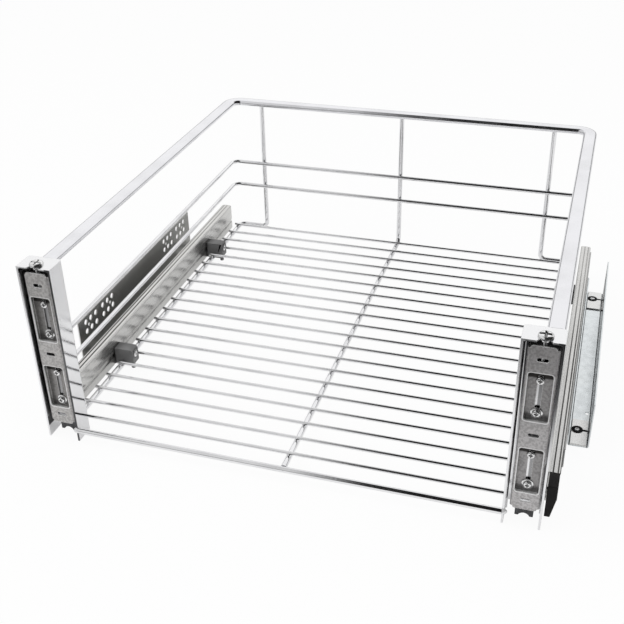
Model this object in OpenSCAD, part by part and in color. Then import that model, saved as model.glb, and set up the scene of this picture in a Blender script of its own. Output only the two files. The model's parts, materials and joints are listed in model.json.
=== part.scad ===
// Pull-out wire basket for a base cabinet: an open-front chromed wire basket on a pair of
// three-member ball runners, with a door bracket at each front corner.
// Millimetres. +Z up, the door side faces -Y. The origin is the middle of the footprint,
// level with the lower ends of the door brackets. The basket is shown closed.

/* [Cabinet] */
// Clear width between the two cabinet side panels
cabinet_w = 568; // [500:2:868]
// Distance from the cabinet side to the basket-side face of the moving runner profile
runner_depth = 36; // [36:0.5:44]

/* [Basket] */
// Depth from the front rail to the back of the top rim
basket_d = 522; // [500:1:560]
// Height of the top rim's centre above the floor wires
rim_rise = 180.5; // [160:0.5:240]
// Height of the upper guard wire above the floor wires
upper_guard_rise = 95; // [80:0.5:130]
// Height of the lower guard wire above the floor wires
lower_guard_rise = 61; // [40:0.5:72]
// Distance from the front rail back to the first floor wire
front_gap = 20; // [14:0.5:21]
// Distance from the last floor wire back to the middle of the top rim
rear_gap = 16; // [12:0.5:30]
// Distance from the runner profile to the middle of each side frame wire
frame_inset = 11; // [9:0.5:12]
// Distance from each side frame wire to its rear upright
upright_inset = 40.5; // [30:0.5:90]

/* [Wires] */
// Diameter of the floor wires
floor_wire_d = 3.6; // [3:0.1:4.4]
// Diameter of the frame wires under the floor
frame_wire_d = 6; // [5:0.1:7]
// Diameter of the two guard wires
guard_wire_d = 5; // [4:0.1:6]
// Diameter of the front rail
front_rail_d = 6; // [5:0.1:7]
// Width of the flat-oval top rim
rim_w = 16; // [14:0.5:18]
// Height of the flat-oval top rim
rim_h = 7; // [5:0.5:9]
// Bend radius of the rim's rear corners, at its middle
rim_bend_r = 15; // [12:0.5:30]
// Bend radius of the guard wires' rear corners
guard_bend_r = 10; // [6:0.5:20]
// Bend radius of the frame wires
frame_bend_r = 8; // [6:0.5:14]

/* [Door brackets] */
// Width of each door bracket channel
bracket_w = 36; // [34:0.5:40]
// Depth of each door bracket channel
bracket_d = 24; // [22:0.5:28]
// Sheet thickness of the door brackets
bracket_t = 2; // [1.5:0.1:2.5]
// Distance from the floor wires down to the lower ends of the brackets
bracket_drop = 19; // [16:0.5:30]
// Distance from the rim's middle out to the outer face of the left bracket
left_bracket_out = 21; // [18:0.5:23]
// Distance from the rim's middle out to the outer face of the right bracket
right_bracket_out = 9; // [8:0.5:10]

/* [Door plates] */
// Width of each door plate
plate_w = 27; // [25:0.5:28]
// Offset of the left door plate to the right of the middle of its bracket
left_plate_offset = 0; // [-1.5:0.5:1.5]
// Offset of the right door plate to the right of the middle of its bracket
right_plate_offset = 1.5; // [-1.5:0.5:1.5]
// Sheet thickness of the door plates
plate_t = 1.5; // [1:0.1:2]
// Distance from the bracket's front edge back to the door plate's face
plate_recess = 3; // [2:0.5:5]
// Distance from the bracket's top down to the top of the door plate
plate_top_gap = 7; // [6:0.5:9]
// Distance from the floor wires down to the bottom of the door plate
plate_drop = 0.5; // [0:0.5:4]
// Land above the upper window of a door plate
land_top = 27; // [25:0.5:32]
// Land between the two windows
land_mid = 30; // [24:0.5:34]
// Land below the lower window
land_bottom = 20; // [18:0.5:28]
// Side lands left and right of the windows
land_side = 2.9; // [2:0.1:3.5]
// Depth from the plate's face to the faces of the clamping strips
strip_depth = 6; // [5.5:0.5:8]
// Width of the door screw slots
door_slot_w = 4; // [3.5:0.1:5]
// Length of the door screw slots
door_slot_len = 10; // [8:0.5:14]
// Diameter of the clamping screws
clamp_screw_d = 4; // [3.5:0.1:5]
// Distance between the two clamping screws of a window
clamp_pitch = 34; // [24:0.5:34]
// Distance from the middle of a window down to the middle of its clamping screws
clamp_drop = 2; // [0:0.5:3]
// Height travel of the door plate, each way
plate_travel = 2.5; // [1:0.5:3]

/* [Runners] */
// Distance from the front rail back to the front end of the moving profiles
profile_setback = 30; // [28:1:36]
// Length of the moving side profiles
profile_len = 470; // [440:1:475]
// Height of the moving side profiles
profile_h = 35.2; // [34:0.2:38]
// Height of the profiles' top above the floor wires
profile_rise = 26.5; // [24:0.5:30]
// Width of the profiles' top and bottom flanges
profile_w = 12.3; // [12:0.1:13]
// Sheet thickness of the moving side profiles
profile_t = 1.5; // [1.2:0.1:1.8]
// Distance from the front ends of the moving profiles to those of the middle rails
middle_setback = 44; // [36:1:46]
// Distance from the rear ends of the middle rails to those of the moving profiles
middle_end_gap = 5; // [3:1:14]
// Sheet thickness of the middle and cabinet rails
rail_t = 1.2; // [1:0.1:1.4]
// Length of the cabinet rails and of the ledges that carry them
cabinet_rail_len = 318; // [306:1:330]
// Distance from the front ends of the moving profiles to those of the cabinet rails
cabinet_rail_setback = 88; // [80:1:92]
// Diameter of the bearing balls
ball_d = 3.2; // [2.8:0.1:3.4]
// Number of balls in each row
balls_per_row = 6; // [4:1:9]

/* [Cabinet brackets] */
// Height of the perforated flange above the floor wires
flange_rise = 45.5; // [43:0.5:60]
// Distance from the rear end of the ledge to that of the flange
flange_setback = 10; // [2:1:16]
// Sheet thickness of the cabinet brackets
cabinet_bracket_t = 1.5; // [1.2:0.1:2]
// Diameter of the cabinet screw holes
cab_hole_d = 6.5; // [5:0.1:7]
// Spacing of the screw holes along the flange
cab_hole_pitch = 11.5; // [10:0.5:12]
// Extra spacing between the two clusters of a hole group
cab_cluster_gap = 6; // [2:0.5:8]
// Spacing of the two rows of screw holes
cab_row_pitch = 12; // [11:0.5:14]
// Distance from each end of the flange to its first screw hole
cab_hole_end = 16.5; // [8:0.5:18]
// Height of the lower row of screw holes above the floor wires
cab_hole_rise = 26; // [22:0.5:27]
// Diameter of the small locating holes
pin_hole_d = 4; // [3:0.1:4.4]

/* [Clips] */
// Reach of a clip from the runner profile towards the basket
clip_reach = 23.5; // [22:0.5:28]
// Length of a clip along the runner
clip_len = 14; // [12:0.5:18]
// Height of a clip's top above the floor wires
clip_rise = 12.5; // [11:0.5:15]
// Height of the clip screws above the floor wires
clip_screw_rise = 4.5; // [4:0.5:5]
// Number of floor wires in front of the front clips
front_clip_wires = 5; // [4:1:7]
// Number of floor wires in front of the rear clips
rear_clip_wires = 16; // [14:1:17]

/* [Hidden] */
$fn = 48;
FLOOR_WIRES = 20;
sides = [-1, 1];
pair = [0, 1];
slide_gap = 0.3;            // clearance between pieces that slide on each other
turn_gap = 0.05;            // radial clearance of a screw that turns in its hole
cut = 1;                    // how far a cutting shape runs past what it cuts
recess_w = 1;               // width of the arms of a cross recess
bend_share = 1.6;           // outer radius of a fold, as a multiple of the sheet's thickness

// basket
rim_to_guard = 7;           // the guard wires' back stands this far inside the rim's
floor_tip = 0.8;            // the floor wires run this far past the frame wires
z_floor = bracket_drop;
z_frame = z_floor - (floor_wire_d + frame_wire_d) / 2;
z_rim = z_floor + rim_rise;
x_face = cabinet_w / 2 - runner_depth;
x_frame = x_face - frame_inset;
x_rim = x_face - rim_w / 2;
x_upright = x_frame - upright_inset;
y_front_rail = -basket_d / 2 + front_rail_d / 2;
y_rim = basket_d / 2 - rim_w / 2;
y_guard = y_rim - rim_to_guard;
y_upright = y_guard + (guard_wire_d + frame_wire_d) / 2;
y_first = y_front_rail + front_gap;
floor_pitch = (y_rim - rear_gap - y_first) / (FLOOR_WIRES - 1);
function y_wire(i) = y_first + i * floor_pitch;
function wire_name(i) = str("floor_wire_", i + 1);

// door brackets, which stand differently to the rim on the left and the right
bracket_bend = bracket_t * bend_share;
wall_drop = 0.5;            // the bracket's wall ends this far under the frame wires
z_bracket_top = z_rim + rim_h / 2;
y_bracket = y_front_rail;
y_bracket_back = y_bracket + bracket_d;
y_wall = y_bracket_back - bracket_t;
wall_bottom = z_frame - frame_wire_d / 2 - wall_drop;
side_hole_setback = 5;      // from the bracket's front edge
side_hole = [6, 8.5];       // depth and height of the holes in the right bracket's outer flange
side_hole_shift = [-28, 6]; // their heights from the middle door slot
notch_mouth = 14;           // the notch for the height screw flares to this width
function bracket_out(s) = s < 0 ? left_bracket_out : right_bracket_out;
function x_bracket(s) = s * (x_rim + bracket_out(s) - bracket_w / 2);
function x_inner(s) = x_bracket(s) - s * bracket_w / 2;

// door plates
plate_corner = 2.5;
plate_bend = plate_t * bend_share;
strip_gap = 0.05;           // the clamping strips slide on the raised panels with this clearance
plate_y = y_bracket + plate_recess;
plate_bottom = z_floor - plate_drop;
plate_top = z_bracket_top - plate_top_gap;
plate_back = y_wall - slide_gap;
window_h = (plate_top - plate_bottom - land_top - land_mid - land_bottom) / 2;
window_w = plate_w - 2 * land_side;
window_z = [plate_bottom + land_bottom, plate_bottom + land_bottom + window_h + land_mid];
strip_y = plate_y + strip_depth;
low_slot_share = 0.55;      // the lowest slot stands this far up its land
door_slot_z = [plate_bottom + land_bottom * low_slot_share, window_z[1] - land_mid / 2,
               plate_top - land_top / 2];
clamp_slot_w = clamp_screw_d + 2 * slide_gap;
clamp_head = [8, 2.6];      // diameter and height
clamp_washer = [11, 0.8];   // under the lower screw of each window
clamp_recess = [4.4, 1.2];  // reach and depth
clamp_dome = 0.78;          // radius of the head's dome over its diameter
clamp_end = 3;              // the clamping screws run this far through the raised panel
function x_plate(s) = x_bracket(s) + (s < 0 ? left_plate_offset : right_plate_offset);
function clamp_z(w, k) = window_z[w] + window_h / 2 - clamp_drop + k * clamp_pitch / 2;
// the shelf that carries a clamping strip stays under its lower washer over the whole travel
function shelf_top(w) = min(window_z[w], clamp_z(w, -1) - clamp_washer[0] / 2 - plate_travel
                                         - 2 * slide_gap);

// height screws
height_screw_d = 5;
height_head = [14, 3];
height_collar = [8, 1.2];
height_recess = [9, 1.6];
height_gap = 0.1;           // axial play of the screw in the bracket's top
height_tab_drop = 8;        // from the top of the plate down to its tab
height_screw_end = 8;       // the screw runs this far through the tab
height_tab = 10;            // depth of the tab, with the screw in its middle
y_height_screw = plate_y + height_tab / 2;
height_tab_z = plate_top - height_tab_drop;

// raised panel of a bracket's wall, which carries the clamping strips
panel_side_gap = 1.5;       // to the side returns of the door plate
panel_rise = 2;             // from the door plate's bottom up to the panel
panel_top_gap = 8;          // from the panel up to the height screw's tip
panel_w = plate_w - 2 * (plate_t + panel_side_gap);
panel_y = strip_y + plate_t + strip_gap;
panel_z = [plate_bottom + panel_rise, height_tab_z - height_screw_end - panel_top_gap];

// bracket feet
foot_size = [17, 11.5];     // width and height
foot_notch = [5.5, 3.5];    // radius and height
foot_gap = 0.5;             // from the door plate at its lowest
foot_top = plate_bottom - plate_travel - foot_gap;

// runners, drawn for the right-hand side and mirrored for the left
profile_bend = 2.4;
end_round = 3.5;
groove = [0.5, 4.5, 1];     // height above the floor wires, width and depth
rib_gap = [0.8, 0.5];       // width and depth of the two lines along the top flange
rib_gap_x = [5, 9.5];       // their distances from the basket-side face
hem_drop = 1.9;             // the profile's hem hangs this far under its bottom flange
y_profile = y_front_rail + profile_setback;
y_profile_end = y_profile + profile_len;
y_middle = y_profile + middle_setback;
y_middle_end = y_profile_end - middle_end_gap;
y_cabinet_rail = y_profile + cabinet_rail_setback;
y_cabinet_rail_end = y_cabinet_rail + cabinet_rail_len;
z_profile_top = z_floor + profile_rise;
z_profile_bottom = z_profile_top - profile_h;
x_profile_out = x_face + profile_w;
middle_gap = 1.8;           // from the groove's back to the middle rail
middle_reach = 1.6;         // the middle rail reaches this far past the profile
upstand_gap = 0.6;          // from the middle rail to the bracket's upstand
ledge_step = 2.2;           // the ledge's top stands this far above the profile's bottom
rail_bend = rail_t * bend_share;
cage_t = 0.8;
cage_gap = 0.4;             // clearance of the cages from the rails on both sides
race_gap = ball_d + 2 * slide_gap;
// heights of the races, from outside in: under and over the two rows of balls
profile_z = [z_profile_bottom + hem_drop + profile_t, z_profile_top - profile_t];
middle_z = [profile_z[0] + race_gap, profile_z[1] - race_gap];
rail_z = [middle_z[0] + rail_t + race_gap, middle_z[1] - rail_t - race_gap];
x_middle = x_face + profile_t + groove[2] + middle_gap;
x_middle_out = x_profile_out + middle_reach;
x_lip = x_middle + rail_t + 2 * cage_gap + cage_t;
x_rail_out = x_middle_out + upstand_gap;
inner_ball_x = 3.7;         // from the middle rail's web
outer_ball_x = 2.9;         // from the cabinet rail's lips
z_ledge = z_profile_bottom + ledge_step;
pocket_gap = 0.05;          // radial clearance of a ball in its cage
ball_pitch = 18;
cage_end = 1.5 * ball_d;    // from the end of a cage to its first ball
inner_cage_setback = 165;   // from the front end of the moving profile
outer_cage_setback = 116;   // from the front end of the cabinet rail

// cap in front of the right-hand profile
cap = [21, 36];             // length and height
cap_inset = 0.4;            // from the outer edge of the profile
cap_straight = 14;          // height of the part above the taper
cap_taper = 4.2;            // how much narrower the cap is at the bottom
cap_tab = 5;                // its tab reaches this far into the profile

// cabinet brackets
cab_columns = 3;            // columns of holes in a cluster
cab_offsets = [for (k = [0:2 * cab_columns - 1])
               cab_hole_end + k * cab_hole_pitch + (k < cab_columns ? 0 : cab_cluster_gap)];
x_flange = cabinet_w / 2;
y_flange_end = y_cabinet_rail_end - flange_setback;
ledge_mark = [5, 57, 4];    // hole: distance from the flange and the front end, diameter
pad = [42, 1.5];            // length and thickness
pad_gap = 1.2;              // clearance from the upstand and the flange
pad_eye_share = 0.58;       // the eye stands this share of the pad's length from its front
eye_d = 10;
eye_edge = 0.6;             // the eye's distance from the pad's edge
eye_tail = [15, 3];         // length and width of the slot that leaves the eye
adjuster_head = [6.4, 2.4];
adjuster_recess = [4.4, 1];
adjuster_shank_d = 4;
x_pad = x_rail_out + cabinet_bracket_t + pad_gap;
x_pad_out = x_flange - cabinet_bracket_t - pad_gap;
x_eye = x_pad + eye_d / 2 + eye_edge;
function y_pad(end) = end < 0 ? y_cabinet_rail : y_cabinet_rail_end - pad[0];
function y_adjuster(end) = y_pad(end) + pad[0] * pad_eye_share;

// clips
clip_gap = 0.7;             // clearance to the floor wire behind the clip
clip_round = 4;
clip_under = 1;             // thickness of the clip under the frame wire
clip_screw_d = 4;
clip_screw_head = [8.5, 1.6];
clip_rim = [11.5, 1];       // raised ring round the screw head
clip_recess = [4.4, 0.8];
clip_nub = [5, 6, 4.5];     // diameter, drop and distance from the clip's face
z_clip = z_frame - frame_wire_d / 2 - clip_under;
z_clip_screw = z_floor + clip_screw_rise;
x_clip = x_face - clip_reach;
// a clip stands just in front of a floor wire
function y_clip(end) = y_wire(end < 0 ? front_clip_wires : rear_clip_wires)
                       - floor_wire_d / 2 - clip_gap - clip_len / 2;

// ---------------------------------------------------------------- shared shapes

function unit(v) = v / norm(v);
function turn_left(v) = [-v[1], v[0]];

// Sets children so that their Z axis lies along w at the point p.
module look_along(p, w) {
    u = unit(cross(abs(w[2]) < 0.9 ? [0, 0, 1] : [1, 0, 0], w));
    v = cross(w, u);
    multmatrix([[u[0], v[0], w[0], p[0]],
                [u[1], v[1], w[1], p[1]],
                [u[2], v[2], w[2], p[2]],
                [0, 0, 0, 1]]) children();
}

// A quarter bend at the corner p of a path that arrives along u and leaves along v.
module bend(p, u, v, r, d) {
    c = p - r * u + r * v;
    n = cross(u, v);
    multmatrix([[-v[0], u[0], -n[0], c[0]],
                [-v[1], u[1], -n[1], c[1]],
                [-v[2], u[2], -n[2], c[2]],
                [0, 0, 0, 1]])
        rotate_extrude(angle = 90) translate([r, 0]) circle(d = d);
}

// A round wire along a path of right-angled turns, each bent to the radius r.
module wire(path, d, r) {
    last = len(path) - 1;
    for (i = [0:last - 1]) {
        w = unit(path[i + 1] - path[i]);
        a = path[i] + (i == 0 ? 0 : r) * w;
        b = path[i + 1] - (i == last - 1 ? 0 : r) * w;
        look_along(a, w) cylinder(d = d, h = norm(b - a));
    }
    for (i = [1:1:last - 1])
        bend(path[i], unit(path[i] - path[i - 1]), unit(path[i + 1] - path[i]), r, d);
}

// Radius of the drawn skin at a fold of outer radius r: the sheet lies to its left.
function skin_r(u, v, t, r) = cross(u, v) > 0 ? r : r - t;
function trim(u, v, t, r) = skin_r(u, v, t, r) * tan(acos(u * v) / 2);

// Section of folded sheet: its skin runs along pts, its thickness t lies to the left, and
// each fold is rounded to the outer radius r.
module folded(pts, t, r) {
    last = len(pts) - 1;
    dirs = [for (i = [0:last - 1]) unit(pts[i + 1] - pts[i])];
    for (i = [0:last - 1]) {
        a = pts[i] + (i == 0 ? 0 : trim(dirs[i - 1], dirs[i], t, r)) * dirs[i];
        b = pts[i + 1] - (i == last - 1 ? 0 : trim(dirs[i], dirs[i + 1], t, r)) * dirs[i];
        n = t * turn_left(dirs[i]);
        polygon([a, b, b + n, a + n]);
    }
    for (i = [1:1:last - 1]) fold_corner(pts[i], dirs[i - 1], dirs[i], t, r);
}

// One rounded fold: the part of a ring between the ends of two straight stretches.
module fold_corner(p, u, v, t, r) {
    skin = skin_r(u, v, t, r);
    a = p - trim(u, v, t, r) * u;
    b = p + trim(u, v, t, r) * v;
    c = a + (cross(u, v) > 0 ? skin : -skin) * turn_left(u);
    reach = (r + cut) / skin;
    intersection() {
        translate(c) difference() {
            circle(r);
            circle(r - t);
        }
        polygon([c, c + reach * (a - c), c + reach * (p - c), c + reach * (b - c)]);
    }
}

// Carries a section drawn in X and Z along Y.
module along_y(y0, y1) {
    translate([0, y1, 0]) rotate([90, 0, 0]) linear_extrude(y1 - y0) children();
}

// Runner pieces are drawn for the right side; side -1 mirrors them to the left.
module side(s) {
    if (s < 0) mirror([1, 0, 0]) children();
    else children();
}

// A rectangle whose two corners at the far Y edge are rounded to the radius r.
module round_backed(x0, y0, x1, y1, r) {
    translate([x0, y0]) square([x1 - x0, y1 - y0 - r]);
    translate([x0 + r, y0]) square([x1 - x0 - 2 * r, y1 - y0]);
    for (x = [x0 + r, x1 - r]) translate([x, y1 - r]) circle(r);
}

module rounded_rect(x0, y0, x1, y1, r) {
    translate([x0 + r, y0]) square([x1 - x0 - 2 * r, y1 - y0]);
    translate([x0, y0 + r]) square([x1 - x0, y1 - y0 - 2 * r]);
    for (x = [x0 + r, x1 - r], y = [y0 + r, y1 - r]) translate([x, y]) circle(r);
}

// A slot with round ends, along X, centred.
module slot_shape(length, width) {
    square([length - width, width], center = true);
    for (s = sides) translate([s * (length - width) / 2, 0]) circle(d = width);
}

// Cross recess cut into a screw head between two heights, its arms reaching from tip to tip.
module cross_recess(z0, z1, reach) {
    for (a = [0, 90])
        rotate([0, 0, a]) translate([-reach / 2, -recess_w / 2, z0])
            cube([reach, recess_w, z1 - z0]);
}

// ---------------------------------------------------------------- wire basket

module top_rim() {
    x_straight = x_rim - rim_bend_r;
    y_straight = y_rim - rim_bend_r;
    color("whitesmoke") translate([0, 0, z_rim]) {
        for (s = sides)
            translate([s * x_rim, 0, 0])
                along_y(y_bracket_back, y_straight) slot_shape(rim_w, rim_h);
        translate([-x_straight, y_rim, 0]) rotate([90, 0, 90])
            linear_extrude(2 * x_straight) slot_shape(rim_w, rim_h);
        for (s = sides)
            translate([s * x_straight, y_straight, 0])
                rotate([0, 0, s < 0 ? 90 : 0]) rotate_extrude(angle = 90)
                    translate([rim_bend_r, 0]) slot_shape(rim_w, rim_h);
    }
}

// A guard wire runs from one door bracket round the back to the other.
module guard_wire(rise) {
    z = z_floor + rise;
    color("whitesmoke")
        wire([[-x_rim, y_bracket_back, z], [-x_rim, y_guard, z],
              [x_rim, y_guard, z], [x_rim, y_bracket_back, z]],
             guard_wire_d, guard_bend_r);
}

module upper_guard_wire() { guard_wire(upper_guard_rise); }
module lower_guard_wire() { guard_wire(lower_guard_rise); }

// A side frame wire lies under the floor, steps inwards at the back and rises to the rim.
module side_frame_wire(s) {
    color("whitesmoke")
        wire([[s * x_frame, y_bracket_back, z_frame], [s * x_frame, y_upright, z_frame],
              [s * x_upright, y_upright, z_frame], [s * x_upright, y_upright, z_rim - rim_h / 2]],
             frame_wire_d, frame_bend_r);
}

module left_frame_wire() { side_frame_wire(-1); }
module right_frame_wire() { side_frame_wire(1); }

module centre_frame_wire() {
    color("whitesmoke")
        wire([[0, y_front_rail + front_rail_d / 2, z_frame], [0, y_upright, z_frame],
              [0, y_upright, z_rim - rim_h / 2]],
             frame_wire_d, frame_bend_r);
}

// The front rail and the first floor wire fit between the inner faces of the brackets.
module front_rail() {
    color("whitesmoke")
        translate([x_inner(-1), y_front_rail, z_frame])
            rotate([0, 90, 0]) cylinder(d = front_rail_d, h = x_inner(1) - x_inner(-1));
}

module floor_wire(i) {
    passes_brackets = y_wire(i) - floor_wire_d / 2 > y_bracket_back;
    x_tip = x_frame + frame_wire_d / 2 + floor_tip;
    x0 = passes_brackets ? -x_tip : x_inner(-1);
    x1 = passes_brackets ? x_tip : x_inner(1);
    color("gainsboro")
        translate([x0, y_wire(i), z_floor])
            rotate([0, 90, 0]) cylinder(d = floor_wire_d, h = x1 - x0);
}

// ---------------------------------------------------------------- door brackets

// Channel open to the front, with a closed top that is notched for the height screw. A raised
// panel stands in front of its wall, threaded for the clamping screws.
module door_bracket(s) {
    x0 = x_bracket(s) - bracket_w / 2;
    x1 = x0 + bracket_w;
    xa = x_plate(s) - panel_w / 2;
    xb = xa + panel_w;
    notch_w = height_screw_d + 2 * slide_gap;
    color("whitesmoke")
        difference() {
            union() {
                linear_extrude(z_bracket_top - bracket_t)
                    folded([[x1, y_bracket], [x1, y_bracket_back],
                            [x0, y_bracket_back], [x0, y_bracket]], bracket_t, bracket_bend);
                translate([0, 0, z_bracket_top - bracket_t]) linear_extrude(bracket_t)
                    round_backed(x0, y_bracket, x1, y_bracket_back, bracket_bend);
                translate([0, 0, panel_z[0]]) linear_extrude(panel_z[1] - panel_z[0])
                    folded([[xa, y_wall + bracket_t / 2], [xa, panel_y],
                            [xb, panel_y], [xb, y_wall + bracket_t / 2]],
                           bracket_t, bracket_bend);
            }
            translate([x0 + bracket_bend, y_wall - cut, -cut])
                cube([bracket_w - 2 * bracket_bend, bracket_t + 2 * cut, wall_bottom + cut]);
            for (w = pair, k = sides)
                translate([x_plate(s), panel_y - cut, clamp_z(w, k)])
                    rotate([-90, 0, 0]) cylinder(d = clamp_screw_d, h = bracket_t + 2 * cut);
            translate([x_plate(s), 0, z_bracket_top - bracket_t - cut])
                linear_extrude(bracket_t + 2 * cut) {
                    polygon([[-notch_mouth / 2, y_bracket - cut], [notch_mouth / 2, y_bracket - cut],
                             [notch_w / 2, y_height_screw], [-notch_w / 2, y_height_screw]]);
                    translate([0, y_height_screw]) circle(d = notch_w);
                }
            if (s > 0)
                for (shift = side_hole_shift)
                    translate([x1 - bracket_t - cut, y_bracket + side_hole_setback,
                               door_slot_z[1] + shift - side_hole[1] / 2])
                        cube([bracket_t + 2 * cut, side_hole[0], side_hole[1]]);
        }
}

module left_door_bracket() { door_bracket(-1); }
module right_door_bracket() { door_bracket(1); }

// Plastic block under the raised panel, with a shallow round notch beneath.
module bracket_foot(s) {
    depth = y_wall - panel_y;
    color("dimgray")
        translate([x_plate(s), y_wall - depth, foot_top - foot_size[1]])
            difference() {
                translate([-foot_size[0] / 2, 0, 0]) cube([foot_size[0], depth, foot_size[1]]);
                translate([0, -cut, foot_notch[1] - foot_notch[0]])
                    rotate([-90, 0, 0]) cylinder(r = foot_notch[0], h = depth + 2 * cut);
            }
}

module left_bracket_foot() { bracket_foot(-1); }
module right_bracket_foot() { bracket_foot(1); }

// ---------------------------------------------------------------- door plates

// Pressed plate that the door is screwed to: side returns, two windows, three door slots
// and a top tab for the height screw. Under each window a shelf leads back to a slotted
// clamping strip that stands behind the window.
module door_plate(s) {
    x0 = x_plate(s) - plate_w / 2;
    x1 = x0 + plate_w;
    color("darkgray")
        difference() {
            union() {
                translate([0, 0, plate_bottom + plate_corner])
                    linear_extrude(plate_top - plate_bottom - 2 * plate_corner)
                        folded([[x0, plate_back], [x0, plate_y], [x1, plate_y], [x1, plate_back]],
                               plate_t, plate_bend);
                along_y(plate_y, plate_y + plate_t)
                    rounded_rect(x0 + plate_bend, plate_bottom, x1 - plate_bend, plate_top,
                                 plate_corner);
                translate([x0 + plate_bend, plate_y + plate_t / 2, height_tab_z])
                    cube([plate_w - 2 * plate_bend, height_tab, plate_t]);
                for (w = pair) clamping_strip(s, w);
            }
            for (z = window_z)
                along_y(plate_y - cut, plate_y + plate_t + cut)
                    rounded_rect(x_plate(s) - window_w / 2, z, x_plate(s) + window_w / 2,
                                 z + window_h, plate_corner);
            for (z = door_slot_z)
                translate([x_plate(s), 0, z])
                    along_y(plate_y - cut, plate_y + plate_t + cut)
                        slot_shape(door_slot_len, door_slot_w);
            translate([x_plate(s), y_height_screw, height_tab_z - cut])
                cylinder(d = height_screw_d + 2 * turn_gap, h = plate_t + 2 * cut);
            for (w = pair)
                translate([x_plate(s), 0, clamp_z(w, 0)])
                    along_y(strip_y - cut, strip_y + plate_t + cut) rotate(90)
                        slot_shape(clamp_pitch + clamp_slot_w + 2 * plate_travel, clamp_slot_w);
        }
}

module clamping_strip(s, w) {
    strip_w = plate_w - 2 * plate_t;
    x0 = x_plate(s) - strip_w / 2;
    shelf = shelf_top(w) - plate_t;
    translate([x0, plate_y + plate_t / 2, shelf]) cube([strip_w, strip_depth, plate_t]);
    translate([x0, strip_y, shelf]) cube([strip_w, plate_t, window_z[w] + window_h - shelf]);
}

module left_door_plate() { door_plate(-1); }
module right_door_plate() { door_plate(1); }

// Four pan-head screws that clamp the door plate to the bracket's raised panel. The lower one
// of each window has a washer.
module clamping_screws(s) {
    dome_r = clamp_head[0] * clamp_dome;
    shank = panel_y + bracket_t + clamp_end - strip_y + strip_gap;
    color("silver")
        for (w = pair, k = sides) {
            seat = k < 0 ? clamp_washer[1] : 0;
            face = seat + clamp_head[1];
            translate([x_plate(s), strip_y - strip_gap, clamp_z(w, k)])
                rotate([90, 0, 0]) difference() {
                    union() {
                        translate([0, 0, -shank]) cylinder(d = clamp_screw_d, h = shank + seat);
                        if (k < 0) cylinder(d = clamp_washer[0], h = seat);
                        translate([0, 0, seat]) intersection() {
                            cylinder(d = clamp_head[0], h = clamp_head[1]);
                            translate([0, 0, clamp_head[1] - dome_r]) sphere(dome_r);
                        }
                    }
                    cross_recess(face - clamp_recess[1], face + cut, clamp_recess[0]);
                }
        }
}

module left_clamping_screws() { clamping_screws(-1); }
module right_clamping_screws() { clamping_screws(1); }

// Upright screw that turns in the bracket's top notch and raises or lowers the door plate.
module height_screw(s) {
    tip = height_tab_z - height_screw_end;
    head = z_bracket_top + height_gap;
    face = head + height_head[1];
    color("silver")
        translate([x_plate(s), y_height_screw, 0])
            difference() {
                union() {
                    translate([0, 0, tip]) cylinder(d = height_screw_d, h = head - tip);
                    translate([0, 0, z_bracket_top - bracket_t - height_gap - height_collar[1]])
                        cylinder(d = height_collar[0], h = height_collar[1]);
                    translate([0, 0, head]) cylinder(d = height_head[0], h = height_head[1]);
                }
                cross_recess(face - height_recess[1], face + cut, height_recess[0]);
            }
}

module left_height_screw() { height_screw(-1); }
module right_height_screw() { height_screw(1); }

// ---------------------------------------------------------------- runners

// Moving profile: a channel that opens towards the cabinet side, with a stiffening groove
// along its web, two lines along its top and a doubled hem under its bottom flange.
module side_profile(s) {
    z_groove = z_floor + groove[0];
    color("silver")
        side(s) difference() {
            intersection() {
                along_y(y_profile, y_profile_end) {
                    folded([[x_profile_out, z_profile_top], [x_face, z_profile_top],
                            [x_face, z_groove + groove[1]],
                            [x_face + groove[2], z_groove + groove[1] - groove[2]],
                            [x_face + groove[2], z_groove + groove[2]],
                            [x_face, z_groove], [x_face, z_profile_bottom]],
                           profile_t, profile_bend);
                    translate([x_face + profile_t, z_profile_bottom])
                        square([profile_t, hem_drop + profile_t]);
                    translate([x_face + profile_t, profile_z[0] - profile_t])
                        square([profile_w - profile_t, profile_t]);
                }
                translate([0, 0, z_profile_bottom - cut])
                    linear_extrude(profile_h + 2 * cut)
                        round_backed(x_face - end_round, y_profile, x_profile_out, y_profile_end,
                                     end_round);
            }
            for (x = rib_gap_x)
                translate([x_face + x - rib_gap[0] / 2, y_profile - cut, z_profile_top - rib_gap[1]])
                    cube([rib_gap[0], profile_len + 2 * cut, rib_gap[1] + cut]);
            for (end = sides)
                translate([x_face - cut, y_clip(end), z_clip_screw])
                    rotate([0, 90, 0]) cylinder(d = clip_screw_d, h = profile_t + 2 * cut);
        }
}

module left_side_profile() { side_profile(-1); }
module right_side_profile() { side_profile(1); }

// Cap beside the right-hand bracket: a tapered nose in front of the profile and a tab that
// fits between its flanges.
module right_profile_cap() {
    x0 = x_face + profile_t + groove[2];
    x1 = x_profile_out - cap_inset;
    color("dimgray") {
        translate([0, y_profile, 0]) rotate([90, 0, 0]) linear_extrude(cap[0])
            polygon([[x0, z_profile_top], [x1, z_profile_top],
                     [x1, z_profile_top - cap_straight], [x1 - cap_taper, z_profile_top - cap[1]],
                     [x0, z_profile_top - cap[1]]]);
        translate([x0, y_profile - cut, profile_z[0] + slide_gap])
            cube([x1 - x0, cap_tab + cut, profile_z[1] - profile_z[0] - 2 * slide_gap]);
    }
}

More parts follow.
